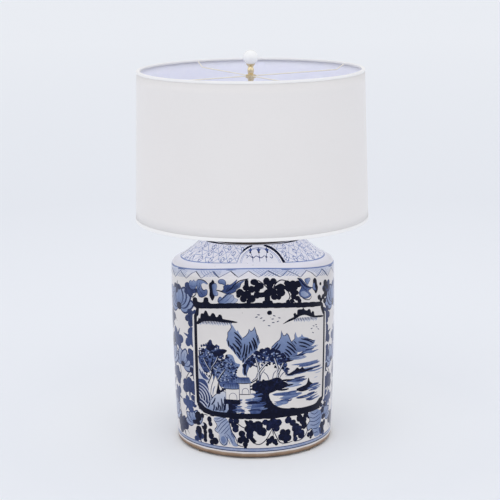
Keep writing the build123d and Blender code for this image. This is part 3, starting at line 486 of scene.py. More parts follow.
def smooth(points, steps=4, closed=True):
    """A smooth curve through the points."""
    count = len(points)
    made = []
    for spot in range(count if closed else count - 1):
        around = [spot + step for step in (-1, 0, 1, 2)]
        if not closed:
            around = [min(max(index, 0), count - 1) for index in around]
        a, b, c, d = (points[index % count] for index in around)
        for step in range(steps):
            u = step / steps
            curve = []
            for axis in (0, 1):
                bend = 2 * a[axis] - 5 * b[axis] + 4 * c[axis] - d[axis]
                twist = 3 * (b[axis] - c[axis]) + d[axis] - a[axis]
                lean = (c[axis] - a[axis]) * u
                curve.append(0.5 * (2 * b[axis] + lean + bend * u * u + twist * u**3))
            made.append(tuple(curve))
    if not closed:
        made.append(points[-1])
    return made


def fill(points, tone, slope=0.0, towards=90.0, steps=3):
    """A filled shape with a smooth outline."""
    paint(smooth(points, steps), tone, slope, towards)


def stroke(points, width, tone=0.95, steps=4, start=0.35, end=0.2):
    """A brush stroke along a smooth curve; start and end are its widths' shares at its ends."""
    if len(points) > 2:
        spine = smooth(points, steps, closed=False)
    else:
        (s, t), (far_s, far_t) = points
        spine = [(s + (far_s - s) * share, t + (far_t - t) * share) for share in (0, 0.25, 0.6, 1)]
    last = len(spine) - 1
    left, right = [], []
    for spot, (s, t) in enumerate(spine):
        ahead, behind = spine[min(spot + 1, last)], spine[max(spot - 1, 0)]
        run, rise = ahead[0] - behind[0], ahead[1] - behind[1]
        length = math.hypot(run, rise) or 1.0
        share = spot / last
        swell = math.sin(math.pi * share) ** 0.6
        thin = start + (end - start) * share
        half = width / 2 * (thin + (1 - thin) * swell)
        left.append((s - rise / length * half, t + run / length * half))
        right.append((s + rise / length * half, t - run / length * half))
    paint(left + right[::-1], tone)


def line(points, width=0.9, tone=0.6, steps=3):
    """A thin even line."""
    stroke(points, width, tone, steps=steps, start=0.8, end=0.8)


def blob(s, t, wide, high, tone=0.97, turn=0.0):
    """A dab of the brush: an uneven oval, half as wide and high as given, and turned."""
    # The first draw isn't used; without it every later dab would change.
    chance.random()
    tilt = math.radians(turn)
    count = max(8, int(5 + 0.8 * max(wide, high)))
    points = []
    for step in range(count):
        angle = TAU * step / count
        swell = 1 + chance.uniform(-0.07, 0.07)
        a, b = wide * swell * math.cos(angle), high * swell * math.sin(angle)
        spot_s = s + a * math.cos(tilt) - b * math.sin(tilt)
        points.append((spot_s, t + a * math.sin(tilt) + b * math.cos(tilt)))
    paint(points, tone)


def dabs(spots, tone=0.97, grow=1.0):
    """Dark lobes that run together; each is (s, t, radius), and grow scales every radius."""
    for s, t, radius in spots:
        wide = grow * radius * chance.uniform(0.92, 1.1)
        blob(s, t, wide, grow * radius * chance.uniform(0.92, 1.1), tone)


def leaf(start, end, width, bend=0.0, tone=0.95, vein=0.0, slope=0.0, towards=90.0):
    """A pointed leaf from its stalk to its tip."""
    (s, t), (far_s, far_t) = start, end
    run, rise = far_s - s, far_t - t
    length = math.hypot(run, rise)
    near, far = [], []
    for share, part in ((0.0, 0.12), (0.2, 0.75), (0.45, 1.0), (0.75, 0.7), (1.0, 0.0)):
        lift = bend * math.sin(math.pi * share)
        middle = (s + run * share - rise * lift, t + rise * share + run * lift)
        aside = (-rise / length * width / 2 * part, run / length * width / 2 * part)
        near.append((middle[0] + aside[0], middle[1] + aside[1]))
        far.append((middle[0] - aside[0], middle[1] - aside[1]))
    fill(near + far[-2::-1], tone, slope, towards, 2)
    if vein:
        middle = (s + run * 0.5 - rise * bend, t + rise * 0.5 + run * bend)
        line([start, middle, (s + run * 0.85, t + rise * 0.85)], 0.9, vein, 3)


def places(start, end, count):
    """Evenly spaced points on a line, half a space in from its ends."""
    for step in range(count):
        share = (step + 0.5) / count
        yield start[0] + (end[0] - start[0]) * share, start[1] + (end[1] - start[1]) * share


def hatch(start, end, reach, width, tone):
    """Nine short strokes side by side from a line; reach is each stroke's run and rise."""
    for s, t in places(start, end, 9):
        size = 1 + chance.uniform(-0.15, 0.15)
        tip = (s + reach[0] * size, t + reach[1] * size)
        stroke([(s, t), tip], width, tone + chance.uniform(-0.08, 0.08))


def washed(outline, tone, slope, towards):
    """A pale petal or leaf with a darker brushed edge and a wash that deepens across it."""
    curve = smooth(outline, 2)
    middle_s = sum(s for s, t in curve) / len(curve)
    middle_t = sum(t for s, t in curve) / len(curve)
    paint(curve, min(1.0, tone + 0.32), slope, towards)
    inner = []
    for s, t in curve:
        reach = math.hypot(s - middle_s, t - middle_t) or 1.0
        keep = max(0.0, 1 - 1.3 / reach)
        inner.append((middle_s + (s - middle_s) * keep, middle_t + (t - middle_t) * keep))
    paint(inner, tone, slope, towards)


def off(s, t, reach, angle):
    """The point at that reach and angle from (s, t)."""
    return s + reach * math.cos(angle), t + reach * math.sin(angle)


def trefoil(s, t, size, turn, tone, leaves):
    """A dark leaf of round lobes on a short stem, as on painted scrolls."""
    angle = math.radians(turn)
    for step in range(leaves):
        aim = angle + (step - (leaves - 1) / 2) * math.radians(250 / leaves)
        reach = size * (0.62 if step in (0, leaves - 1) else 0.72)
        blob(*off(s, t, reach, aim), size * 0.52, size * 0.44, tone, math.degrees(aim))
    blob(s, t, size * 0.42, size * 0.42, tone)
    stroke([(s, t), off(s, t, -size, angle)], size * 0.24, tone)


def lotus(s, t, size, turn, tone, petals):
    """An open flower seen from the side: pale petals with darker edges, and a hatched heart."""
    angle = math.radians(turn)
    middle = (petals - 1) / 2
    for step in sorted(range(petals), key=lambda step: -abs(step - middle)):
        aim = angle + (step - middle) * math.radians(190 / petals)
        leaf((s, t), off(s, t, size, aim), size * 0.72, 0.0, tone + 0.4)
        inner = off(s, t, size * 0.9, aim)
        leaf((s, t), inner, size * 0.56, 0.0, tone, tone + 0.35, 0.15, math.degrees(aim) + 180)
    for step in range(5):
        aim = angle + math.radians(-60 + 30 * step)
        line([(s, t), off(s, t, size * 0.5, aim)], 0.8, tone + 0.35, 1)
    blob(s, t, size * 0.2, size * 0.16, tone + 0.55)


def curl(s, t, size, side, turn, width, tone):
    """A tendril that rolls up at its end."""
    points = []
    for step in range(9):
        share = step / 8
        radius = size * (1 - 0.72 * share)
        points.append(off(s, t, radius, math.radians(turn) + side * share * 4.6))
    stroke(points, width, tone, steps=2, start=0.5, end=0.9)


def streaks(s, t, length, count, tall, tone, spread):
    """Level strokes of thin blue, for water."""
    for _ in range(count):
        middle_s = s + chance.uniform(-0.3, 0.3) * length
        middle_t = t + chance.uniform(-0.5, 0.5) * spread
        half = length * chance.uniform(0.2, 0.5)
        lift = chance.uniform(-1.0, 1.0)
        spots = [(middle_s - half, middle_t), (middle_s, middle_t + lift),
                 (middle_s + half, middle_t + 1)]
        width = tall * chance.uniform(0.6, 1.4)
        stroke(spots, width, tone * chance.uniform(0.6, 1.2), start=0.1, end=0.05)


def foliage(left, right, low, high, count, size, tone):
    """Leaves dabbed with the brush's tip inside an oval."""
    middle_s, middle_t = (left + right) / 2, (low + high) / 2
    for _ in range(count):
        angle, reach = chance.uniform(0, TAU), math.sqrt(chance.random())
        s = middle_s + (right - left) / 2 * reach * math.cos(angle)
        t = middle_t + (high - low) / 2 * reach * math.sin(angle)
        wide = size * chance.uniform(0.6, 1.3)
        tall = wide * chance.uniform(0.5, 0.9)
        shade = min(1.0, tone + chance.uniform(-0.2, 0.2))
        blob(s, t, wide, tall, shade, chance.uniform(-60, 60))


def branch(points, width, tone=0.98):
    """A thick blunt stroke that joins lobes."""
    stroke(points, width, tone, steps=2, start=0.9, end=0.9)


def mountain(outline, foot, folds):
    """A peak: a pale wash, dark folds as (start, end, width), and a dark ridge line."""
    paint(outline + smooth(foot, 2, closed=False), 0.38, 0.2, 270)
    for start, end, width in folds:
        run, rise = end[0] - start[0], end[1] - start[1]
        middle = ((start[0] + end[0]) / 2 - rise * 0.05, (start[1] + end[1]) / 2 + run * 0.05)
        shade = chance.uniform(0.82, 0.98)
        stroke([start, middle, end], width * 1.2, shade, steps=3, start=0.4, end=0.35)
    stroke(outline, 1.7, 0.8, steps=1, start=0.7, end=0.7)


def rock_bands(s, t, radii, low, high, wide):
    """Pale arcs over a rock, from one angle to another; wide stretches them sideways."""
    for radius in radii:
        arc = []
        for step in range(5):
            angle = math.radians(low + (high - low) * step / 4)
            arc.append((s + radius * math.cos(angle) * wide, t + radius * math.sin(angle)))
        stroke(arc, 3.0, 0.13, steps=2, start=0.5, end=0.3)


def house(left, right, low, high, arch_s, arch_radius, roof_high):
    """A white hut with an arched door, a dark step and a blue roof."""
    paint([(left, low), (right, low), (right, high), (left, high)], 0.0)
    line([(left, low), (left, high)], 1.0, 0.75, 1)
    line([(right, low), (right, high)], 1.4, 0.8, 1)
    line([(left, high), (right, high)], 1.2, 0.8, 1)
    line([(left, low + 0.4), (right, low + 0.4)], 1.6, 0.85, 1)
    arch = [(arch_s - arch_radius, low + 1)]
    for step in range(7):
        arch.append(off(arch_s, low + 6, arch_radius, math.pi * (1 - step / 6)))
    arch.append((arch_s + arch_radius, low + 1))
    stroke(arch, 1.0, 0.7, steps=1, start=0.9, end=0.9)
    roof = [(left - 5, high), (left - 1, roof_high), (right - 2, roof_high), (right + 3, high)]
    paint(roof, 0.5, 0.3, 90)
    hatch((left - 3, high + 0.5), (right + 1, high + 0.5), (1.5, roof_high - high - 1), 0.8, 0.8)
    stroke([(left - 7, high), ((left + right) / 2, high - 0.6), (right + 6, high + 0.8)], 1.8, 0.9)


# ---------------------------------------------------------------- landscape panels
def panel_frame():
    """The dark frame of a landscape, with notched upper corners and a rounded foot."""
    outer = [(-137, 106), (-137, 289), (-132, 296), (-130, 312), (153, 312), (159, 306), (162, 296),
             (166.5, 288), (165.5, 105), (161, 98), (154, 94), (153, 83), (130, 82), (-95, 83),
             (-117, 86), (-131, 94)]
    inner = [(-129, 106), (-129, 286), (-124, 290), (-122.5, 302), (150.5, 302.5), (151, 299),
             (155, 291), (160.5, 284), (159, 108), (151, 105), (146, 102), (145, 93.5), (130, 93),
             (-93, 93.5), (-109, 97), (-123, 103)]
    for spot in range(len(outer)):
        beside = (spot + 1) % len(outer)
        paint([outer[spot], outer[beside], inner[beside], inner[spot]], 0.98)
    for edge, level in ((312, 0.9), (302.6, 0.8), (82.6, 0.9), (93, 0.8)):
        for step in range(13):
            blob(-112 + 20 * step + chance.uniform(-5, 5), edge, chance.uniform(5, 9), level, 0.98)


def panel_ground():
    """Bare glaze inside the frame and in a narrow margin at its two sides."""
    paint([(-133, 97), (-133, 292), (-125, 307), (155, 307), (164, 290), (162, 100), (150, 88),
           (-110, 90)], 0.0)
    for side in (-140.5, 165):
        wave = [(side + chance.uniform(-1.2, 1.2), 100 + 21 * step) for step in range(10)]
        margin = [(s - 1, t) for s, t in wave] + [(s + 6, t) for s, t in reversed(wave)]
        fill(margin, 0.0, steps=2)


def cloud_ridge(outline, hatching):
    """A dark ridge of lobes over the sky, with blue strokes; hatching is (start, end, count)."""
    for tone, long, width in ((0.3, 8.5, 2.4), (0.72, 5.5, 2.0)):
        for s, t in places(*hatching):
            fall = long * chance.uniform(0.8, 1.15)
            stroke([(s, t + 4), (s - fall * 0.5, t - fall + 3)], width, tone, start=0.9, end=0.1)
    fill(outline, 1.0, steps=2)


def birds(spots, turn=0.0):
    """Small dashes in the sky."""
    for s, t in spots:
        blob(s, t, 2.7, 1.0, 0.75, turn + chance.uniform(-20, 25))


def far_hills():
    """The four striped peaks across the water."""
    ridge = [(-57, 240), (-54, 248), (-54, 256), (-50, 260), (-46, 266), (-48, 275), (-43, 270),
             (-37, 261), (-34, 258), (-33, 262), (-28, 252), (-22, 245)]
    folds = [((-40, 257), (-24, 241), 2.9), ((-40, 248), (-25, 233), 3.1),
             ((-38, 241), (-25, 225), 3.1), ((-44, 235), (-28, 216), 3.0),
             ((-54, 241), (-52, 228), 2.8), ((-50, 232), (-45, 222), 2.8),
             ((-45, 229), (-38, 213), 3.0), ((-36, 218), (-28, 205), 3.0),
             ((-33, 228), (-27, 212), 2.4), ((-22, 236), (-28, 222), 2.4)]
    mountain(ridge, [(-23, 229), (-23, 211), (-25, 200), (-31, 204), (-39, 214), (-46, 222),
                     (-54, 229)], folds)
    ridge = [(-22, 245), (-15, 250), (-10, 256), (-9, 263), (-5, 258), (0, 261), (2.5, 267),
             (4, 261), (6, 253), (9, 247), (12, 235)]
    folds = [((-18, 234), (-24, 206), 2.9), ((-13, 232), (-18, 208), 2.7),
             ((-8, 232), (-10, 213), 2.9), ((-1, 246), (6, 224), 3.2), ((-4, 241), (3, 221), 3.0),
             ((-9, 238), (-3, 219), 2.8), ((-20, 206), (-23, 197), 2.6),
             ((-14, 214), (-18, 203), 2.2), ((5, 250), (9, 234), 1.6)]
    mountain(ridge, [(9, 230), (7, 222), (-2, 214), (-14, 204), (-23, 195), (-25, 209), (-24, 229)],
             folds)
    ridge = [(74, 234), (82, 241), (82, 249), (84, 255), (86, 247), (89, 243), (96, 245), (98, 250),
             (102, 244), (113, 241), (121, 235), (134, 234)]
    folds = [((96, 240), (129, 228), 2.8), ((90, 234), (120, 223), 2.8),
             ((92, 226), (112, 220), 2.6), ((104, 240), (132, 231), 1.8),
             ((80, 236), (86, 230), 1.8)]
    mountain(ridge, [(131, 227), (121, 222), (114, 217), (101, 214), (87, 213), (80, 224)], folds)
    ridge = [(34, 226), (43, 235), (50, 240), (53, 246), (54, 258), (58, 248), (62, 249), (65, 253),
             (69, 248), (72, 240), (76, 233), (84, 224)]
    folds = [((47, 234), (36, 221), 2.8), ((52, 232), (41, 218), 2.8), ((65, 236), (86, 216), 3.0),
             ((65, 227), (84, 211), 3.2), ((62, 221), (76, 208), 3.0), ((60, 215), (71, 204), 3.0),
             ((56, 214), (64, 202), 2.8), ((51, 213), (57, 201), 2.8), ((44, 214), (49, 203), 2.4)]
    mountain(ridge, [(88, 214), (88, 206), (82, 199), (66, 197), (53, 200), (47, 206), (40, 212),
                     (35, 220)], folds)
    fill([(47, 203), (58, 203), (71, 204), (86, 207), (100, 213), (118, 220), (138, 223),
         (128, 216), (110, 209), (89, 201), (71, 195), (56, 196)], 0.8, -0.35, 0, 2)
    streaks(112, 212, 46, 7, 2.2, 0.5, 8)
    streaks(128, 220, 34, 4, 1.8, 0.35, 5)
    streaks(96, 202, 40, 5, 2.2, 0.45, 5)


def left_trees():
    """Tall leafy trees in stippled dabs over thin blue, with rocks and a slope at their foot."""
    fill([(-124, 186), (-127, 206), (-116, 218), (-108, 222), (-100, 232), (-95, 240), (-88, 230),
          (-78, 224), (-58, 220), (-72, 208), (-82, 196), (-94, 178), (-110, 172)], 0.5, 0.2, 270)
    fill([(-90, 160), (-88, 186), (-76, 196), (-62, 200), (-56, 212), (-44, 210), (-38, 196),
          (-28, 192), (-38, 176), (-30, 160), (-40, 146), (-62, 144), (-80, 150)], 0.45, 0.2, 270)
    foliage(-127, -66, 184, 234, 150, 2.9, 0.78)
    foliage(-122, -88, 164, 200, 50, 2.7, 0.78)
    foliage(-92, -34, 152, 210, 180, 2.7, 0.76)
    foliage(-74, -28, 144, 172, 50, 2.4, 0.68)
    foliage(-124, -70, 190, 228, 34, 1.8, 0.36)
    foliage(-88, -40, 156, 200, 60, 1.8, 0.34)
    fill([(-106, 222), (-101, 234), (-97, 240), (-92, 240), (-89, 232), (-82, 226), (-94, 218)],
         0.84, 0.15, 270)
    fill([(-88, 216), (-76, 220), (-66, 223), (-56, 220), (-62, 214), (-72, 208), (-84, 206)], 0.88,
         0.1, 270)
    blob(-116, 216, 6, 2.6, 0.85)
    fill([(-128, 150), (-127, 188), (-118, 180), (-108, 166), (-98, 158), (-100, 148)], 0.1)
    for lean in ((-126, 178, -112, 158), (-119, 174, -106, 156), (-113, 170, -100, 156)):
        stroke([(lean[0], lean[1]), ((lean[0] + lean[2]) / 2 - 2, (lean[1] + lean[3]) / 2),
                lean[2:]], 4.2, 0.62)
    for spots in (
        [(-104, 150), (-95, 166), (-92, 184), (-90, 206)],
        [(-94, 176), (-104, 188), (-112, 202)],
        [(-92, 184), (-82, 196), (-76, 208)],
        [(-82, 152), (-72, 168), (-60, 182)],
    ):
        stroke(spots, 3.6, 0.92, start=0.9, end=0.3)
        stroke([(s - 1.6, t) for s, t in spots[:3]], 1.3, 0.12, start=0.8, end=0.3)
    fill([(-98, 124), (-96, 142), (-88, 158), (-84, 167), (-79, 160), (-74, 146), (-66, 140),
          (-62, 132), (-80, 122)], 0.0)
    stroke([(-98, 124), (-94, 146), (-84, 168)], 1.6, 0.75)
    stroke([(-84, 168), (-78, 156), (-70, 144), (-62, 140)], 1.6, 0.75)
    stroke([(-92, 126), (-90, 138), (-86, 146)], 2.2, 0.55)


def left_rocks():
    """Striped and domed rocks in the lower left corner."""
    fill([(-132, 92), (-132, 150), (-124, 157), (-112, 156), (-104, 146), (-100, 132), (-92, 122),
          (-88, 96)], 0.72, 0.2, 270)
    rock_bands(-134, 116, (8, 14.5, 21, 27.5, 34), -10, 80, 1.1)
    rock_bands(-136, 84, (12, 19, 26, 33), 10, 75, 1.1)
    fill([(-108, 94), (-102, 112), (-90, 124), (-80, 132), (-68, 137), (-58, 133), (-57, 118),
          (-60, 94)], 0.2, 0.22, 270)
    for run in ((-100, 112, -106, 99), (-86, 122, -96, 106), (-90, 108, -92, 94),
                (-80, 114, -81, 96), (-72, 122, -71, 96), (-64, 126, -64, 98), (-76, 108, -76, 95),
                (-85, 104, -86, 95), (-67, 112, -67, 95)):
        middle = ((run[0] + run[2]) / 2 + 1.5, (run[1] + run[3]) / 2)
        stroke([run[:2], middle, run[2:]], 3.4, 0.84, start=0.3, end=0.9)
    stroke([(-104, 106), (-92, 122), (-80, 132), (-68, 137), (-58, 133)], 1.6, 0.8)
    fill([(-83, 131), (-81, 142), (-78, 154), (-75, 142), (-73, 132)], 0.94)
    dabs([(-67, 140, 3.6), (-62, 142, 3), (-71, 137, 2.6)], 0.9)


def willows():
    """Pollarded willows: round dark crowns over pale trunks and hanging twigs."""
    fill([(-24, 176), (-20, 196), (-8, 208), (4, 216), (18, 220), (36, 219), (54, 212), (62, 196),
          (64, 172), (56, 180), (46, 192), (24, 198), (4, 196), (-10, 186), (-16, 170)], 0.55, 0.3,
         90)
    crowns = [(-2, 207, 6), (6, 214, 7), (16, 219, 6), (26, 221, 6.5), (37, 219, 7), (47, 215, 6.5),
              (55, 208, 7), (-12, 198, 6), (61, 199, 6), (12, 208, 7), (30, 211, 8), (44, 207, 7),
              (2, 200, 6), (-20, 190, 5), (20, 204, 6), (36, 203, 6), (52, 198, 6), (-6, 192, 5),
              (62, 188, 4.5), (63, 178, 4)]
    dabs([(s, t, size * 0.86) for s, t, size in crowns], 0.84)
    foliage(-24, 66, 184, 212, 90, 2.4, 0.8)
    foliage(-4, 58, 196, 218, 34, 1.7, 0.3)
    branch([(-18, 172), (-19, 182), (-16, 194)], 5.0, 0.9)
    foliage(52, 68, 164, 196, 36, 2.6, 0.75)
    fill([(-14, 164), (-13, 178), (-4, 188), (6, 186), (9, 174), (8, 164), (0, 158), (-10, 158)],
         0.0)
    fill([(12, 158), (13, 176), (20, 186), (32, 189), (40, 182), (44, 170), (40, 158)], 0.0)
    fill([(46, 160), (48, 174), (54, 180), (61, 174), (60, 162)], 0.0)
    for trunk in (
        [(8, 156), (10, 172), (9, 188), (4, 204)],
        [(9, 176), (18, 188), (28, 198)],
        [(44, 158), (48, 176), (44, 192), (40, 204)],
        [(46, 172), (53, 184), (58, 194)],
    ):
        stroke(trunk, 5.0, 0.9, start=1.0, end=0.4)
        stroke([(s - 0.4, t) for s, t in trunk], 2.2, 0.08, start=0.9, end=0.3)
    for bough in (
        [(-13, 162), (-15, 174), (-10, 186)],
        [(12, 158), (14, 172), (22, 184)],
        [(-4, 160), (4, 166), (7, 176)],
        [(30, 158), (26, 170), (18, 178)],
        [(48, 160), (56, 172), (66, 178)],
        [(36, 160), (38, 172), (44, 180)],
    ):
        stroke(bough, 1.5, 0.7, start=0.9, end=0.3)
    stroke([(-12, 160), (-6, 157), (2, 160), (8, 166)], 2.6, 0.9)


def bank():
    """The dark bank that runs from the willows down to the frame."""
    fill([(-8, 92), (-4, 112), (-2, 124), (4, 132), (2, 142), (14, 140), (24, 130), (28, 110),
          (24, 92)], 0.62, 0.2, 0)
    streaks(4, 112, 34, 14, 3.0, 0.75, 36)
    streaks(-2, 128, 26, 8, 2.6, 0.6, 14)
    fill([(-4, 146), (-2, 154), (8, 158), (18, 160), (30, 161), (42, 165), (52, 163), (58, 156),
          (66, 152), (68, 146), (58, 142), (48, 140), (38, 136), (30, 133), (30, 126), (34, 117),
          (40, 110), (50, 104), (60, 101), (78, 98), (88, 93), (88, 87), (14, 87), (18, 104),
          (16, 116), (14, 124), (18, 132), (8, 138), (-2, 140)], 0.93, 0.08, 300)
    for run in ([(-10, 148), (8, 152), (26, 150)], [(-12, 142), (4, 144), (24, 142)],
                [(2, 134), (16, 137), (36, 138)], [(48, 158), (64, 158), (78, 157)],
                [(52, 148), (66, 147), (80, 148)], [(6, 128), (18, 129), (30, 127)],
                [(10, 118), (22, 119), (36, 116)], [(44, 140), (58, 139), (70, 140)]):
        stroke(run, 4.2, 0.92, start=0.15, end=0.1)
    foliage(0, 60, 142, 162, 30, 3.4, 1.0)
    streaks(14, 110, 16, 7, 2.2, 0.55, 20)
    fill([(60, 92), (74, 100), (90, 97), (112, 96), (136, 97), (146, 103), (150, 106), (156, 104),
          (150, 88)], 0.95)


def waters():
    """Streaked water with an islet and a boat."""
    streaks(-52, 106, 26, 14, 3.0, 0.9, 24)
    paint([(-62, 92), (-62, 114), (-42, 118), (-36, 104), (-38, 92)], 0.9, 0.1, 180)
    streaks(-36, 110, 18, 12, 3.4, 0.72, 22)
    streaks(-30, 98, 18, 8, 3.0, 0.62, 10)
    streaks(-6, 112, 22, 12, 2.6, 0.45, 22)
    streaks(4, 100, 26, 8, 2.4, 0.4, 12)
    for s, t, length, count, tall, tone, spread in (
        (82, 157, 52, 10, 3.4, 0.72, 7), (84, 147, 46, 7, 2.6, 0.34, 8),
        (64, 129, 50, 9, 3.0, 0.6, 8), (62, 120, 44, 9, 3.0, 0.62, 10),
        (58, 111, 36, 8, 2.8, 0.55, 8), (118, 119, 46, 8, 3.4, 0.74, 7),
        (128, 112, 34, 7, 2.8, 0.6, 8), (138, 134, 34, 8, 3.2, 0.55, 10),
        (112, 186, 56, 8, 3.0, 0.5, 6), (122, 174, 60, 9, 3.2, 0.6, 8),
        (84, 169, 40, 5, 2.4, 0.5, 5), (140, 160, 24, 3, 2.0, 0.25, 20),
    ):
        streaks(s, t, length, count, tall, tone, spread)
    fill([(64, 168), (72, 172), (82, 177), (88, 182), (94, 178), (100, 182), (106, 176), (120, 177),
          (134, 175), (112, 171), (90, 170), (76, 167)], 0.9)
    fill([(86, 137), (94, 131), (106, 130), (118, 132), (126, 137), (134, 141), (124, 143),
          (112, 143), (100, 141)], 0.92)
    fill([(106, 140), (112, 146), (116, 157), (120, 148), (128, 141)], 0.95)
    stroke([(120, 138), (132, 140), (148, 139)], 5.0, 0.6, start=0.6, end=0.1)
    stroke([(114, 134), (126, 134), (140, 132)], 4.0, 0.5, start=0.6, end=0.1)


def front_panel():
    """The landscape that faces the room."""
    panel_ground()
    ridge = [(-133, 272), (-126, 279), (-124, 285), (-120, 283), (-118, 292), (-113, 293),
             (-110, 293), (-107, 298), (-103, 298), (-100, 294), (-97, 289), (-93, 289), (-90, 293),
             (-86, 294), (-82, 291), (-80, 287), (-76, 287), (-73, 291), (-69, 291), (-66, 288),
             (-64, 283), (-51, 281), (-33, 277), (-38, 275), (-64, 276)]
    cloud_ridge(ridge + [(-83, 278), (-105, 278), (-117, 275), (-124, 271)],
                ((-118, 275), (-42, 275), 20))
    ridge = [(56, 271), (70, 281), (80, 285), (79, 290), (83, 293), (87, 289), (88, 297), (92, 299),
             (99, 299), (102, 302), (105, 298), (111, 296), (115, 299), (120, 297), (122, 291),
             (126, 295), (130, 292), (131, 286), (139, 285), (158, 284), (158, 280), (138, 281),
             (123, 283), (114, 286), (104, 288), (93, 286), (81, 280), (66, 275)]
    cloud_ridge(ridge, ((82, 279), (142, 280), 15))
    blob(31, 293.5, 5, 4.3, 1.0)
    birds([(10, 290), (6, 286), (15, 284), (20, 279), (40, 288), (37, 282), (38, 275), (30, 269),
           (50, 284), (47, 277)])
    birds([(123, 259), (129, 264), (136, 266), (138, 261), (143, 256), (127, 250)], -10)
    far_hills()
    left_trees()
    willows()
    waters()
    bank()
    left_rocks()
    house(-61, -31, 120, 143, -45, 8.5, 155)
    house(-31, -8, 132, 155, -18, 7.0, 167)
    paint([(-66, 111), (-66, 121), (-29, 121), (-29, 112)], 0.9)
    panel_frame()


def back_panel():
    """A second landscape for the far side, of the same kind with other hills and a bridge."""
    panel_ground()
    ridge = [(-78, 274), (-66, 281), (-64, 288), (-59, 290), (-55, 287), (-52, 295), (-46, 296),
             (-42, 291), (-38, 296), (-32, 294), (-29, 288), (-25, 291), (-20, 288), (-18, 282),
             (8, 276), (-14, 275), (-46, 276)]
    cloud_ridge(ridge, ((-70, 275), (-2, 275), 16))
    blob(-98, 288, 5, 4.3, 1.0)
    birds([(60, 284), (54, 279), (66, 278), (72, 284), (80, 281), (86, 276), (70, 270), (-104, 262),
           (-96, 258)])
    peak = [(20, 214), (30, 232), (40, 242), (46, 262), (50, 250), (58, 246), (66, 256), (70, 244),
            (84, 228), (96, 214)]
    folds = [((46, 256), (56, 220), 3.0), ((52, 246), (62, 214), 3.0), ((59, 246), (70, 212), 3.0),
             ((66, 252), (80, 216), 3.0), ((38, 240), (34, 216), 2.8), ((44, 240), (43, 212), 2.8),
             ((72, 240), (88, 216), 2.8), ((30, 230), (27, 216), 2.6)]
    mountain(peak, [(92, 204), (56, 198), (26, 204)], folds)
    peak = [(96, 212), (108, 228), (116, 240), (120, 232), (130, 236), (142, 224), (152, 212)]
    folds = [((115, 238), (124, 216), 2.8), ((121, 230), (132, 212), 2.8),
             ((129, 234), (142, 214), 2.8), ((108, 228), (108, 210), 2.6),
             ((138, 226), (148, 212), 2.4)]
    mountain(peak, [(150, 205), (120, 200), (98, 204)], folds)
    streaks(-60, 206, 70, 10, 2.6, 0.45, 14)
    streaks(110, 190, 60, 10, 2.8, 0.5, 12)
    fill([(54, 100), (60, 130), (78, 150), (104, 158), (130, 152), (154, 160), (156, 96), (90, 94)],
         0.2, 0.25, 270)
    fill([(58, 170), (70, 196), (90, 206), (112, 200), (130, 196), (150, 186), (148, 160),
          (110, 150), (76, 152)], 0.45, 0.2, 270)
    foliage(56, 118, 156, 208, 190, 3.0, 0.82)
    foliage(98, 154, 146, 198, 140, 2.8, 0.8)
    foliage(66, 140, 156, 200, 40, 1.7, 0.15)
    for spots in ([(84, 128), (88, 150), (86, 184)], [(87, 150), (98, 168), (106, 186)],
                  [(126, 126), (124, 150), (128, 178)]):
        stroke(spots, 4.0, 0.92, start=0.9, end=0.3)
    fill([(156, 96), (156, 140), (144, 146), (132, 138), (122, 122), (112, 96)], 0.72, 0.2, 270)
    rock_bands(156, 102, (12, 19, 26, 33, 40), 95, 180, 1.05)
    house(62, 92, 118, 141, 77, 8.5, 153)
    paint([(58, 94), (58, 118), (94, 118), (96, 94)], 0.9)
    arch = [(-58, 118), (-44, 132), (-22, 140), (0, 132), (14, 118)]
    stroke([(s, t + 6) for s, t in arch], 1.8, 0.85)
    stroke(arch, 4.4, 0.9, start=0.8, end=0.8)
    for step in range(9):
        share = step / 8
        s = -58 + 72 * share
        line([(s, 118 + 21 * math.sin(math.pi * share)), (s, 125 + 21 * math.sin(math.pi * share))],
             1.2, 0.85, 1)
    streaks(-20, 108, 80, 24, 3.2, 0.6, 22)
    fill([(-128, 96), (-128, 150), (-112, 158), (-92, 152), (-70, 138), (-54, 122), (-40, 108),
          (-38, 94)], 0.9, 0.1, 300)
    fill([(-126, 150), (-122, 196), (-108, 216), (-90, 208), (-76, 186), (-60, 166), (-66, 146),
          (-96, 148)], 0.45, 0.2, 270)
    foliage(-126, -72, 150, 216, 220, 3.0, 0.84)
    foliage(-100, -48, 140, 176, 90, 2.6, 0.84)
    foliage(-118, -70, 156, 206, 30, 1.7, 0.15)
    for spots in ([(-104, 130), (-100, 156), (-104, 196)], [(-101, 160), (-90, 176), (-84, 194)]):
        stroke(spots, 4.0, 0.93, start=0.9, end=0.3)
    fill([(-20, 172), (-12, 166), (6, 165), (18, 170), (8, 174), (-8, 175)], 0.9)
    fill([(-4, 174), (2, 188), (8, 174)], 0.85)
    streaks(0, 164, 60, 8, 2.6, 0.5, 6)
    streaks(-10, 186, 90, 8, 2.2, 0.35, 12)
    panel_frame()


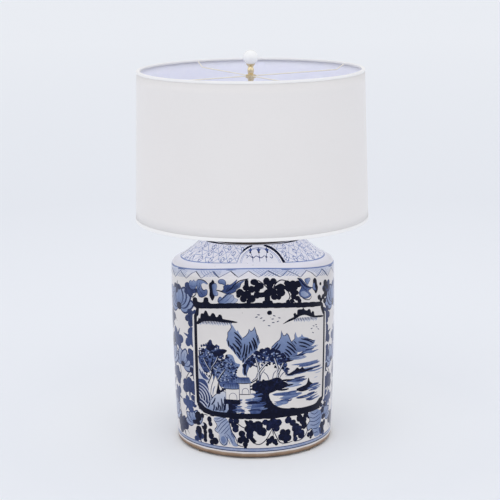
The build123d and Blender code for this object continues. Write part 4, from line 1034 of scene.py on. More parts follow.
# ---------------------------------------------------------------- scroll borders
def upper_scroll():
    """Flowers and dark leaves between the panel and the zigzag, front half."""
    for spots in (
        [(-47, 339), (-35, 354), (-25, 360), (-9, 363)],
        [(10, 360), (20, 352), (27, 344), (31, 334), (28, 318)],
        [(37, 340), (44, 354), (54, 361), (66, 359)],
        [(66, 340), (72, 326), (66, 314)],
        [(76, 330), (78, 318), (84, 312)],
    ):
        stroke(spots, 2.4, 0.9, start=0.7, end=0.6)
    left_flower = [(-150, 354), (-148, 361), (-143, 364), (-140, 361), (-136, 365), (-133, 361),
                   (-127, 363), (-125, 356), (-129, 349), (-135, 342), (-141, 342), (-147, 346)]
    washed(left_flower, 0.4, 0.3, 270)
    right_petal = [(-127, 363), (-117, 365), (-106, 362), (-98, 355), (-102, 355), (-107, 358),
                   (-113, 357), (-116, 353), (-113, 345), (-108, 341), (-102, 343), (-99, 340),
                   (-100, 332), (-107, 327), (-116, 325), (-123, 328), (-126, 335), (-131, 338),
                   (-128, 349)]
    washed(right_petal, 0.46, 0.3, 270)
    stroke([(-126, 365), (-113, 364), (-104, 360), (-98, 354)], 2.2, 0.9)
    stroke([(-116, 354), (-113, 344), (-107, 341), (-102, 344)], 1.8, 0.88)
    stroke([(-127, 333), (-124, 343), (-119, 350), (-120, 358)], 1.6, 0.82)
    stroke([(-110, 330), (-118, 338), (-122, 346)], 1.2, 0.78)
    stroke([(-147, 352), (-140, 350), (-131, 351)], 1.1, 0.6)
    stroke([(-128, 344), (-131, 333), (-140, 326), (-147, 330)], 2.6, 0.95)
    fill([(-87, 364), (-82, 358), (-83, 349), (-84, 341), (-82, 330), (-83, 324),
         (-88, 318), (-92, 324), (-95, 330), (-94, 340), (-96, 351), (-94, 357),
         (-90, 359)], 1.0, steps=2)
    washed([(-86, 355), (-79, 356), (-76, 349), (-78, 342), (-74, 335), (-75, 329), (-82, 328),
            (-86, 333), (-88, 342), (-89, 351)], 0.38, 0.25, 180)
    washed([(-74, 357), (-74, 361), (-70, 364), (-63, 364), (-58, 361), (-56, 356), (-57, 349),
            (-61, 351), (-65, 353), (-71, 354)], 0.46, 0.25, 270)
    wing = [(-63, 349), (-57, 351), (-53, 353), (-48, 352), (-41, 356), (-34, 362), (-32, 361),
            (-35, 356), (-37, 351), (-31, 355), (-23, 359), (-16, 360), (-24, 353), (-26, 346),
            (-34, 341), (-35, 337), (-46, 332), (-56, 332), (-63, 335), (-78, 340.5), (-69, 339),
            (-62, 343)]
    washed(wing, 0.6, 0.25, 200)
    hatch((-60, 336), (-34, 342), (9, 12), 1.1, 0.86)
    stroke([(-62, 336), (-70, 339), (-79, 341)], 2.6, 0.98)
    stroke([(-56, 336), (-46, 343), (-38, 352), (-28, 358)], 2.2, 0.92)
    washed([(-76, 317), (-73, 325), (-69, 327), (-65, 324), (-58, 331), (-51, 332), (-41, 330),
            (-39, 324), (-31, 320), (-35, 314), (-45, 311), (-58, 310), (-70, 311)], 0.32, 0.35,
           180)
    stroke([(-74, 316), (-66, 321), (-57, 328), (-48, 336)], 1.8, 0.85)
    stroke([(-60, 314), (-52, 320), (-44, 328)], 1.2, 0.6)
    stroke([(-48, 313), (-42, 318), (-38, 324)], 1.0, 0.55)
    branch([(-27, 335), (-14, 329), (-3, 322)], 12)
    dabs([(-27, 335, 8), (-20, 321, 7.5), (-3, 321, 8.5), (-12, 331, 8), (-30, 329, 5),
          (-9, 316, 5)], 1.0, 1.03)
    branch([(-13, 358), (-12, 345), (0, 342), (12, 348)], 9)
    dabs([(-13, 358, 4.5), (3, 356, 7), (12, 348, 8), (-14, 345, 6.5), (-3, 341, 7), (7, 341, 6)],
         1.0, 1.03)
    branch([(2, 330), (16, 329), (30, 332)], 11)
    branch([(27, 334), (27, 322), (28, 310)], 11)
    dabs([(8, 329, 7), (28, 333, 8), (22, 313, 4), (34, 313, 4)], 1.0, 1.03)
    dabs([(26, 358, 7), (39, 358, 7), (32, 351, 7), (33, 344, 4.5)], 1.0, 1.03)
    dabs([(38, 335, 8), (41, 325, 6.5), (53, 345, 8), (53, 334, 9), (49, 324, 5.5), (44, 345, 4)],
         1.0, 1.03)
    branch([(64, 352), (78, 351), (92, 354)], 12)
    dabs([(66, 354, 6.5), (78, 352, 8.5), (90, 353, 8), (70, 343, 7.5), (79, 338, 8), (84, 345, 6),
          (61, 345, 5)], 1.0, 1.03)
    dabs([(80, 326, 6.5), (76, 316, 5), (88, 322, 6), (93, 316, 5), (68, 314, 4.5), (86, 334, 5)],
         1.0, 1.03)
    washed([(88, 366), (97, 365), (101, 361), (109, 353), (117, 347), (126, 345), (120, 341),
            (115, 337), (122, 330), (120, 325), (108, 320), (99, 323), (93, 327), (91, 334),
            (94, 340), (97, 346), (95, 354), (91, 361)], 0.58, 0.3, 100)
    washed([(94, 335), (103, 339), (112, 334), (117, 328), (106, 323), (97, 326)], 0.26, 0.15, 180)
    washed([(105, 363), (113, 366), (119, 366), (120, 362), (116, 356), (113, 351), (107, 356)],
           0.34, 0.25, 200)
    stroke([(88, 365), (95, 361), (102, 353), (112, 346), (127, 345)], 2.6, 0.95)
    stroke([(100, 350), (103, 343), (112, 338)], 1.6, 0.8)
    stroke([(96, 326), (106, 319), (118, 319), (124, 326)], 1.8, 0.9)
    fill([(128, 363), (133, 366), (138, 361), (139, 353), (142, 344), (139, 334),
         (134, 331), (131, 337), (125, 343), (127, 351), (127, 358)], 1.0, steps=2)
    washed([(127, 354), (132, 355), (134, 345), (137, 339), (131, 338), (126, 343)], 0.44, 0.2, 0)
    fill([(-139, 323), (-135, 326), (-128, 324), (-126, 317), (-118, 315), (-111, 316),
         (-109, 324), (-104, 326), (-98, 324), (-97, 316), (-93, 313), (-96, 309),
         (-119, 308), (-128, 303), (-136, 305), (-139, 314)], 1.0, steps=2)
    dabs([(146, 322, 6), (152, 316, 5), (160, 322, 6), (166, 312, 6), (170, 328, 7), (164, 338, 6),
          (168, 352, 8)], 1.0, 1.03)
    dabs([(177, 343, 6), (150, 352, 4)], 1.0, 1.03)


def lower_scroll():
    """Flowers, trefoils and vines between the panel and the foot, front half."""
    for spots in (
        [(-9, 44), (-2, 34), (10, 30), (22, 38), (30, 50), (36, 62)],
        [(37, 60), (44, 44), (52, 31), (66, 28), (80, 30)],
        [(86, 28), (102, 30), (114, 40), (118, 56)],
        [(-48, 84), (-30, 68), (-14, 62)],
        [(-56, 70), (-48, 48), (-40, 30), (-24, 25)],
        [(36, 62), (38, 46)],
    ):
        stroke(spots, 2.0, 0.88, start=0.8, end=0.5)
    fill([(-92, 76), (-86, 82), (-64, 83), (-54, 70), (-50, 56), (-42, 46), (-44, 36), (-36, 26),
          (-48, 26), (-58, 40), (-60, 28), (-68, 24), (-78, 30), (-79, 46), (-90, 54), (-84, 64)],
         0.26, 0.12, 0)
    for start, middle, end in (((-60, 80), (-74, 70), (-86, 54)), ((-66, 82), (-78, 74), (-90, 72)),
                               ((-57, 76), (-70, 64), (-82, 50)), ((-55, 70), (-64, 60), (-76, 48)),
                               ((-54, 63), (-60, 56), (-68, 48)), ((-72, 83), (-82, 78), (-90, 78)),
                               ((-52, 60), (-50, 48), (-42, 38)), ((-62, 50), (-54, 42), (-48, 30)),
                               ((-66, 46), (-58, 36), (-54, 28)),
                               ((-52, 54), (-46, 46), (-42, 44))):
        stroke([start, middle, end], 1.5, 0.66, start=0.7, end=0.4)
    stroke([(-80, 46), (-79, 32), (-70, 25), (-62, 30), (-60, 44)], 1.7, 0.8)
    stroke([(-92, 76), (-84, 64), (-90, 54), (-80, 48)], 1.7, 0.85)
    stroke([(-56, 80), (-50, 56), (-41, 42), (-36, 26)], 2.0, 0.85)
    blob(-70, 36, 6, 8, 0.42)
    dabs([(-134, 75, 10), (-122, 79, 6), (-137, 62, 7), (-103, 74, 7), (-101, 65, 6),
          (-118, 57, 9.5), (-116, 46, 6)], 0.93, 0.94)
    branch([(-118, 56), (-116, 42), (-117, 27)], 9)
    dabs([(-134, 46, 9), (-132, 35, 6), (-117, 29, 5.5), (-102, 49, 7), (-100, 40, 7.5),
          (-90, 31, 8.5), (-99, 27, 6)], 0.9, 0.94)
    branch([(-100, 27), (-92, 31), (-86, 28)], 8)
    blob(-123, 60, 4, 3.4, 0.1)
    branch([(-38, 86), (-40, 76), (-44, 70)], 8)
    dabs([(-39, 78, 7), (-51, 77, 6.5), (-45, 69, 7), (-41, 60, 7.5), (-38, 66, 5)], 0.86, 0.94)
    dabs([(-27, 52, 8), (-31, 38, 8), (-18, 38, 7.5), (-25, 42, 8), (-20, 30, 6)], 0.93, 0.94)
    branch([(-22, 40), (-20, 30), (-20, 22)], 7)
    leaf((-8, 68), (-21, 80), 9, 0.0)
    branch([(-16, 64), (0, 68), (10, 66)], 16)
    branch([(-12, 66), (-12, 54), (-6, 42), (2, 34)], 9)
    dabs([(-8, 74, 7), (7, 70, 10), (-14, 62, 8.5), (-10, 50, 9.5), (14, 57, 10.5), (8, 62, 8),
          (-4, 62, 9), (18, 52, 6)], 0.9, 0.94)
    blob(0, 53, 2.5, 5, 0.03)
    branch([(37, 86), (36, 78), (33, 68)], 10)
    dabs([(22, 75, 7), (32, 70, 10.5), (48, 72, 7.5), (44, 61, 7.5), (28, 63, 6), (40, 76, 7),
          (40, 68, 8)], 0.86, 0.94)
    dabs([(30, 36, 7), (41, 34, 6.5), (35, 41, 6), (26, 30, 4), (44, 29, 4)], 0.93, 0.94)
    dabs([(57, 52, 7), (68, 50, 7), (61, 44, 11), (69, 38, 8.5), (54, 42, 7), (64, 33, 6)], 0.9,
         0.94)
    branch([(66, 76), (78, 69), (86, 56), (84, 42), (86, 31)], 8)
    dabs([(69, 75, 7.5), (79, 68, 7.5), (86, 57, 9.5), (95, 52, 7), (88, 46, 8), (100, 40, 9.5),
          (86, 33, 6)], 0.86, 0.94)
    branch([(92, 84), (98, 74), (106, 64)], 9)
    dabs([(95, 75, 8.5), (104, 68, 9.5), (107, 57, 7.5), (111, 78, 7), (93, 82, 5)], 0.93, 0.94)
    dabs([(120, 35, 5.5), (129, 36, 8), (126, 28, 4), (118, 72, 4)], 0.9, 0.94)
    fill([(116, 78), (126, 82), (146, 82), (158, 72), (160, 54), (152, 40), (156, 26), (140, 25),
          (134, 34), (126, 46), (118, 44), (114, 54), (122, 64)], 0.3, 0.12, 0)
    for run in (((124, 80), (136, 74), (150, 78)), ((120, 72), (134, 66), (156, 70)),
                ((122, 62), (138, 58), (158, 62)), ((124, 54), (138, 50), (156, 52)),
                ((132, 44), (142, 42), (150, 42)), ((136, 34), (144, 34), (150, 32))):
        stroke(list(run), 1.7, 0.7, start=0.7, end=0.4)
    stroke([(116, 78), (122, 64), (114, 54), (118, 44), (128, 45), (136, 32)], 2.0, 0.85)
    dabs([(164, 76, 8), (158, 88, 5), (168, 60, 7), (162, 44, 7), (166, 32, 7), (172, 46, 7),
          (172, 86, 7)], 0.86, 0.94)


def side_scroll():
    """One side between the panels: big pale flowers and dark leaves, centred on s = 0."""
    for spots in (
        [(-74, 30), (-48, 60), (-40, 110), (-54, 160), (-40, 200)],
        [(66, 40), (40, 90), (36, 140), (58, 190), (44, 230)],
        [(-60, 190), (-24, 222), (12, 232), (44, 262)],
        [(-44, 270), (-8, 300), (44, 310), (76, 330)],
        [(-88, 96), (-68, 120), (-72, 150), (-92, 176)],
        [(76, 100), (92, 140), (82, 190), (96, 230)],
        [(-20, 96), (0, 120), (24, 130), (40, 156)],
    ):
        stroke(spots, 2.4, 0.88)
    for s, t, size, turn, tone, petals in ((-54, 304, 50, 90, 0.4, 7), (52, 314, 42, 100, 0.36, 7),
                                           (-62, 180, 38, 110, 0.34, 5), (68, 236, 42, 80, 0.36, 7),
                                           (2, 184, 50, 90, 0.36, 7), (-2, 58, 46, 90, 0.38, 7),
                                           (-6, 340, 28, 270, 0.4, 5), (72, 60, 34, 110, 0.36, 5),
                                           (-92, 60, 30, 70, 0.36, 5), (94, 140, 26, 100, 0.34, 5)):
        lotus(s, t, size, turn, tone - 0.06, petals)
    for s, t, size, turn, leaves in ((-16, 268, 25, 40, 5), (24, 266, 23, 120, 4),
                                     (-88, 242, 23, 200, 4), (-44, 238, 25, 300, 5),
                                     (28, 230, 20, 60, 4), (-30, 148, 24, 120, 5),
                                     (38, 150, 23, 60, 5), (-82, 130, 24, 90, 5),
                                     (78, 178, 22, 40, 5), (-38, 106, 21, 20, 4),
                                     (32, 112, 24, 150, 5), (70, 116, 22, 80, 4),
                                     (-74, 92, 20, 120, 4), (-52, 40, 23, 60, 5),
                                     (38, 40, 22, 120, 4), (92, 296, 20, 60, 4),
                                     (16, 300, 20, 250, 4), (-92, 346, 19, 300, 4),
                                     (24, 350, 18, 220, 4), (88, 350, 18, 250, 3),
                                     (0, 128, 20, 270, 4), (-104, 30, 16, 60, 3),
                                     (104, 34, 16, 100, 3), (-96, 200, 20, 20, 4),
                                     (100, 200, 18, 120, 4), (-46, 348, 16, 280, 3),
                                     (50, 276, 18, 320, 3), (8, 24, 11, 270, 3),
                                     (-96, 282, 20, 30, 4), (-96, 164, 17, 150, 4),
                                     (104, 256, 17, 200, 3), (56, 204, 17, 30, 3),
                                     (-14, 224, 17, 210, 4), (104, 92, 17, 160, 3),
                                     (-12, 102, 15, 320, 3), (-100, 108, 17, 300, 3)):
        trefoil(s, t, size * 0.86, turn, chance.uniform(0.62, 0.86), leaves)


# ---------------------------------------------------------------- shoulder and rings
def zigzag_band():
    """Pale band over the wall's top edge with a zigzag line and patches of lattice."""
    stops = 24
    step = full_turn / stops
    for spot in range(stops):
        s = seam_s + spot * step
        paint([(s, 367.5), (s + step, 367.5), (s + step, 386), (s, 386)], 0.08, 0.08, 90)
        paint([(s, 367), (s + step / 2, 380), (s + step, 367)], 0.0)
        stroke([(s, 367), (s + step / 2, 381)], chance.uniform(1.1, 1.6), 0.62, start=0.7, end=0.9)
        heavy = 3.2 if spot % 3 == 0 else chance.uniform(1.3, 2.0)
        stroke([(s + step / 2, 381), (s + step, 367)], heavy, 0.86, start=0.95, end=0.4)
        if spot % 3 == 1:
            stroke([(s + step * 0.2, 383.5), (s + step * 0.8, 383.5)], 2.2, 0.5)
        if spot % 6 in (0, 1, 3):
            for inner in range(5):
                shift = step * (inner + 0.6) / 6
                line([(s + shift, 369), (s + shift + step / 2, 383)], 0.9, 0.36, 1)
                line([(s + step - shift, 369), (s + step / 2 - shift, 383)], 0.9, 0.36, 1)
    ring(384.5, 387.5, 0.42)
    ring(398.9, 400.3, 0.4)


def ring(low, high, tone):
    """A painted line right round the jar."""
    stops = 40
    step = full_turn / stops
    for spot in range(stops):
        s = seam_s + spot * step
        shade = tone * chance.uniform(0.85, 1.1)
        paint([(s, low), (s + step, low), (s + step, high), (s, high)], shade)


def cracked_ice():
    """Broken lattice with round blossoms over the shoulder."""
    rows, stops, low = 4, 46, 400
    step = full_turn / stops
    tall = (paint_high - low) / rows

    def corner(spot, row):
        """A knot of the lattice, moved a little from its place in the grid."""
        wobble = math.sin(spot % stops * 12.9 + row * 78.2) * 43758.5
        wobble -= math.floor(wobble)
        lift = math.sin(spot % stops * 39.3 + row * 11.1) * 24634.6
        lift -= math.floor(lift)
        s = seam_s + (spot + 0.5 * (row % 2) + 0.5 * (wobble - 0.5)) * step
        return s, low + (row + 0.6 * (lift - 0.5) * (0 < row < rows)) * tall

    for row in range(rows):
        for spot in range(stops):
            here = corner(spot, row)
            line([here, corner(spot + row % 2, row + 1)], 1.0, 0.4, 1)
            line([here, corner(spot - 1 + row % 2, row + 1)], 1.0, 0.36, 1)
            if (spot + row) % 2:
                line([here, corner(spot + 1, row)], 1.0, 0.34, 1)
    for row, count in ((0, 34), (1, 26), (2, 20)):
        for spot in range(count):
            s = seam_s + (spot + 0.5 * (row % 2) + chance.uniform(-0.2, 0.2)) * full_turn / count
            t = 407 + row * 13.5 + chance.uniform(-2, 2)
            turn = chance.uniform(0, 180)
            blob(s, t, 6.6, 5.4, 0.46, turn)
            for side in (-1, 1):
                lobe_s = s + side * 2.7 * math.cos(math.radians(turn))
                lobe_t = t + side * 2.3 * math.sin(math.radians(turn))
                blob(lobe_s, lobe_t, 2.4, 3.8, 0.02, turn)


def cartouche(middle):
    """A round window on the shoulder with a small plant in it."""
    pen["shift"] = middle
    half, tall, low = 60, 45, 399
    outline = []
    for step in range(21):
        angle = math.pi * step / 20
        outline.append((half * math.cos(angle), low + tall * math.sin(angle) ** 0.8))
    paint(outline, 0.0)
    stroke(outline[:9], 7.5, 0.95, steps=1, start=1.0, end=0.35)
    stroke(outline[12:18], 5.5, 0.9, steps=1, start=0.6, end=0.5)
    stroke(outline[16:], 1.8, 0.5, steps=1, start=0.9, end=0.6)
    for scale, shade in ((0.86, 0.5), (0.8, 0.3)):
        inner = [(s * scale, low + (t - low) * (scale - 0.02)) for s, t in outline]
        stroke(inner, 1.2, shade, steps=1, start=0.8, end=0.8)
    for s, lean in ((-17, -8), (0, 0), (17, 8)):
        stroke([(s, 401), (s + lean * 0.2, 414), (s + lean, 426)], 1.6, 0.55)
        for side in (-1, 0, 1):
            tip = (s + lean + side * 6.5, 438 - abs(side) * 5)
            leaf((s + lean, 425), tip, 5.0, 0.2 * side, 0.62)
        blob(s + lean, 425, 3.0, 2.6, 0.85)
        blob(s + lean * 0.2, 413, 2.4, 2.2, 0.8)
    stroke([(-36, 411), (-27, 417), (-17, 411), (-8, 416), (4, 411), (14, 416), (24, 412)], 2.0,
           0.66)
    curl(31, 414, 7, -1, 90, 1.9, 0.6)
    curl(-36, 416, 5, 1, 270, 1.5, 0.5)
    pen["shift"] = 0.0


def paint_jar():
    """The whole painting; what is painted later covers what is under it."""
    for side in (1, -1):
        pen["shift"], pen["side"] = side * full_turn / 4 + 14, side
        side_scroll()
    for shift, panel in ((0.0, front_panel), (full_turn / 2, back_panel)):
        pen["shift"], pen["side"] = shift, 1
        upper_scroll()
        lower_scroll()
        panel()
    pen["shift"] = 0.0
    ring(15.6, 22.0, 0.27)
    ring(14.6, 16.4, 0.72)
    ring(20.8, 22.4, 0.62)
    zigzag_band()
    cracked_ice()
    for turn in range(3):
        cartouche(18 + turn * full_turn / 3)
    stops = 60
    for stop in range(stops):
        s, beside = seam_s + stop * full_turn / stops, full_turn / stops
        low, beside_low = (
            paint_high - (1.0 + 2.2 * (1 - math.cos(2 * place / turn_length)))
            for place in (s, s + beside)
        )
        paint([(s, paint_high), (s, low), (s + beside, beside_low), (s + beside, paint_high)], 1.0)


paint_jar()


# ================================================================ jar mesh
def face_owners(outlines):
    """Triangulates overlapping outlines; gives points, triangles and the owner of each.

    The first outline is the whole wall and the last the cord's bore. An owner is the number
    of the last outline over the triangle, less one: -1 is bare wall, -2 the bore and -3 is
    outside the wall.
    """
    points, faces = [], []
    for outline in outlines:
        base = len(points)
        points += [Vector(spot) for spot in outline]
        faces.append(list(range(base, base + len(outline))))
    bore_face = len(faces) - 1
    found = delaunay_2d_cdt(points, [], faces, 1, 1e-4, True)
    spots, triangles, origins_of = found[0], found[2], found[5]
    covered = [0.0] * len(faces)
    for corners, origins in zip(triangles, origins_of):
        a, b, c = (spots[corner] for corner in corners)
        for origin in origins:
            covered[origin] += abs((b - a).cross(c - a)) / 2
    spilled = set()
    for number, face in enumerate(faces[1:], 1):
        across = [points[corner].x for corner in face]
        up = [points[corner].y for corner in face]
        box = (max(across) - min(across)) * (max(up) - min(up))
        if covered[number] > 1.05 * box:
            spilled.add(number)
    owners = []
    for origins in origins_of:
        if 0 not in origins:
            owners.append(-3)
        elif bore_face in origins:
            owners.append(-2)
        else:
            owners.append(max(origin for origin in origins if origin not in spilled) - 1)
    return spots, triangles, owners


def outlines_between(spots, triangles, owners):
    """The edges between different owners, as neighbours of each point, without needless points."""
    longest, straight = 9, 0.06
    sides = {}
    for corners, owner in zip(triangles, owners):
        for first, second in zip(corners, corners[1:] + corners[:1]):
            sides.setdefault((min(first, second), max(first, second)), []).append(owner)
    near = {}
    for (first, second), both in sides.items():
        if len(both) != 2 or both[0] != both[1]:
            near.setdefault(first, set()).add(second)
            near.setdefault(second, set()).add(first)
    for spot in sorted(near):
        if len(near[spot]) != 2:
            continue
        first, second = near[spot]
        run = spots[second] - spots[first]
        if run.length > longest or run.length < 1e-6 or second in near[first]:
            continue
        if abs(run.cross(spots[spot] - spots[first])) / run.length < straight:
            del near[spot]
            near[first].discard(spot)
            near[second].discard(spot)
            near[first].add(second)
            near[second].add(first)
    return near


def sheet(outlines, low, high, rows, bore):
    """Triangulates one unrolled wall with its shapes; gives vertices, faces and their owners."""
    borders = (seam_s, seam_s + full_turn)
    wall = [(borders[0], low), (borders[1], low), (borders[1], high), (borders[0], high)]
    spots, triangles, owners = face_owners([wall, *outlines, bore])
    near = outlines_between(spots, triangles, owners)
    middle = sum((Vector(spot) for spot in bore), Vector((0.0, 0.0))) / len(bore)
    reach = max((Vector(spot) - middle).length for spot in bore) + 1.0
    for spot in [spot for spot in near if (spots[spot] - middle).length < reach]:
        for other in near.pop(spot):
            if other in near:
                near[other].discard(spot)
    kept_points = sorted(near)
    index = {spot: place for place, spot in enumerate(kept_points)}
    points = [spots[spot] for spot in kept_points]
    heights = set(rows)
    for point in points:
        for border in borders:
            if abs(point.x - border) < 0.05:
                close = min(rows, key=lambda row: abs(row - point.y))
                point.x = border
                point.y = close if abs(close - point.y) < 0.1 else round(point.y, 1)
                heights.add(point.y)
    edges = []
    for spot in kept_points:
        edges += [(index[spot], index[other]) for other in near[spot] if spot < other]
    base, count = len(points), len(bore)
    points += [Vector(spot) for spot in bore]
    edges += [(base + place, base + (place + 1) % count) for place in range(count)]
    column = {}
    for row, t in enumerate(rows):
        for spot in range(jar_segments + 1):
            column[spot, row] = len(points)
            points.append(Vector((seam_s + full_turn * spot / jar_segments, t)))
    for border in borders:
        base = len(points)
        points += [Vector((border, height)) for height in sorted(heights)]
        edges += [(place, place + 1) for place in range(base, len(points) - 1)]
    grid = []
    for spot in range(1, jar_segments):
        for row in range(len(rows) - 1):
            grid.append((column[spot, row], column[spot, row + 1]))
    for row in range(len(rows)):
        for spot in range(jar_segments):
            grid.append((column[spot, row], column[spot + 1, row]))
    for start, end in grid:
        one, two = points[start], points[end]
        share = (middle - one).dot(two - one) / (two - one).length_squared
        if (one + (two - one) * min(1.0, max(0.0, share)) - middle).length > reach:
            edges.append((start, end))
    tree = BVHTree.FromPolygons([(*spot, 0.0) for spot in spots], triangles)
    found = delaunay_2d_cdt(points, edges, [], 0, 1e-4, False)
    kept, kept_owners = [], []
    for corners in found[2]:
        spot = sum((found[0][corner] for corner in corners), Vector((0.0, 0.0))) / 3
        if not (low < spot.y < high and borders[0] < spot.x < borders[1]):
            continue
        owner = owners[tree.find_nearest((*spot, 0.0))[2]]
        if owner != -2:
            kept.append(corners)
            kept_owners.append(owner)
    return found[0], kept, kept_owners


def rows_between(low, high):
    """Levels of the grid: close together over the rounded edge."""
    rows = [low]
    while rows[-1] < high - 0.01:
        t = rows[-1]
        if t < edge_start - 16:
            step = 14.0
        elif edge_start - 2 < t < edge_z + 12:
            step = 1.6
        else:
            step = 7.0
        rows.append(t + step if t + step * 1.3 < high else high)
    return rows


def bore_circle(radius_at):
    """The cord hole's edge in the drawing, for a wall with those radii."""
    circle = []
    for step in range(bore_segments):
        across, up = off(0.0, 0.0, cord_hole_radius, TAU * step / bore_segments)
        aside = turn_length * math.asin(across / radius_at(cord_z))
        circle.append((full_turn / 2 - aside, cord_z + up))
    return circle


def on_jar(s, t, radius_at, level_of):
    """A drawing's point on a wall, in metres; s runs from the front towards +X."""
    angle, level = s / turn_length, level_of(t)
    radius = radius_at(level)
    return (radius * math.sin(angle) * MM, -radius * math.cos(angle) * MM, level * MM)


def make_walls():
    """The jar's painted outside and its plain inside: points, faces, inks and chart places."""
    mesh_points, mesh_faces, inks, charts = [], [], [], []

    def add_sheet(these, radius_at, level_of, low, high, inwards):
        """Adds one wall to the mesh."""
        bore = bore_circle(radius_at)
        if sum(a[0] * b[1] - b[0] * a[1] for a, b in zip(bore, bore[1:] + bore[:1])) < 0:
            bore.reverse()
        outlines = [shape[0] for shape in these]
        spots, faces, owners = sheet(outlines, low, high, rows_between(low, high), bore)
        base = len(mesh_points)
        for spot in spots:
            mesh_points.append(on_jar(spot.x, spot.y, radius_at, level_of))
        for corners, owner in zip(faces, owners):
            order = corners[::-1] if inwards else corners
            mesh_faces.append([base + corner for corner in order])
            for corner in order:
                spot = spots[corner]
                ink = 0.0
                if owner >= 0:
                    _, tone, slope, direction, across = these[owner]
                    run = spot.x * direction[0] + spot.y * direction[1]
                    share = (run - across[0]) / max(across[1] - across[0], 0.01)
                    ink = tone + slope * (share - 0.5)
                inks.append(ink)
                around = (spot.x - seam_s) / full_turn
                if inwards:
                    charts.append((around, 0.28 * spot.y / paint_high))
                else:
                    charts.append((around, 0.3 + 0.7 * spot.y / paint_high))

    add_sheet(shapes, jar_radius, level_at, paint_low, paint_high, False)
    add_sheet([], inner_radius, lambda t: t, floor_top_z, inner_top_z, True)
    return mesh_points, mesh_faces, inks, charts


def rounded_corner(before, corner, after, radius):
    """Points of a fillet at a corner of an outline."""
    steps = 4
    first, second = (Vector(before) - Vector(corner)), (Vector(after) - Vector(corner))
    half = first.angle(second) / 2
    reach = radius / math.tan(half)
    first.normalize()
    second.normalize()
    centre = Vector(corner) + (first + second).normalized() * radius / math.sin(half)
    start, end = Vector(corner) + first * reach - centre, Vector(corner) + second * reach - centre
    return [tuple(centre + start.slerp(end, step / steps)) for step in range(steps + 1)]


def arc_through(start, middle, end, steps):
    """Points along the arc through three points."""
    centre_x, centre_y, radius = circle_through(start, middle, end)
    first = math.atan2(start[1] - centre_y, start[0] - centre_x)
    last = math.atan2(end[1] - centre_y, end[0] - centre_x)
    if abs(last - first) > math.pi:
        last += TAU if last < first else -TAU
    turns = [first + (last - first) * step / steps for step in range(steps + 1)]
    return [(centre_x + radius * math.cos(turn), centre_y + radius * math.sin(turn))
            for turn in turns]


def turned_outlines():
    """Two open outlines of (radius, level): the foot with the floor, and the top with the neck."""
    inner_edge = (inner_radius(inner_edge_z), inner_edge_z)
    inner_ledge = (mouth_radius, ledge_z - wall_thickness)
    ring_inner = foot_radius - foot_ring_width
    start = (wall_radius(paint_low), paint_low)
    outer_foot, inner_foot = (foot_radius, foot_z), (ring_inner, foot_z)
    hollow, middle = (ring_inner, floor_under_z), (20, floor_under_z)
    under = [start]
    under += rounded_corner(start, outer_foot, inner_foot, foot_round)
    under += rounded_corner(outer_foot, inner_foot, hollow, foot_round)
    under += rounded_corner(inner_foot, hollow, middle, foot_round)
    under += [(pipe_hole_radius, floor_under_z), (pipe_hole_radius, floor_top_z)]
    under += [(inner_radius(floor_top_z), floor_top_z)]
    lower = (inner_radius(inner_top_z), inner_top_z)
    shoulder = arc_through(inner_edge, hollow_middle(inner_edge, inner_ledge), inner_ledge, 10)
    inner_round = edge_round - 0.5 * wall_thickness
    upper = [lower] + rounded_corner(lower, inner_edge, shoulder[2], inner_round) + shoulder[2:]
    upper += [(mouth_radius, rim_z), (neck_radius, rim_z), (neck_radius, ledge_z), ledge_point]
    return under, upper


def outer_normal(spot):
    """The wall's or the shoulder's own normal at a point of the outside; None elsewhere."""
    level, reach = spot.z / MM, math.hypot(spot.x, spot.y)
    if reach / MM < jar_radius(min(level, ledge_z)) - 3:
        return None
    above, below = min(level + 0.05, ledge_z), max(level - 0.05, foot_z)
    slope, span = jar_radius(above) - jar_radius(below), above - below
    return Vector((spot.x / reach * span, spot.y / reach * span, -slope)).normalized()


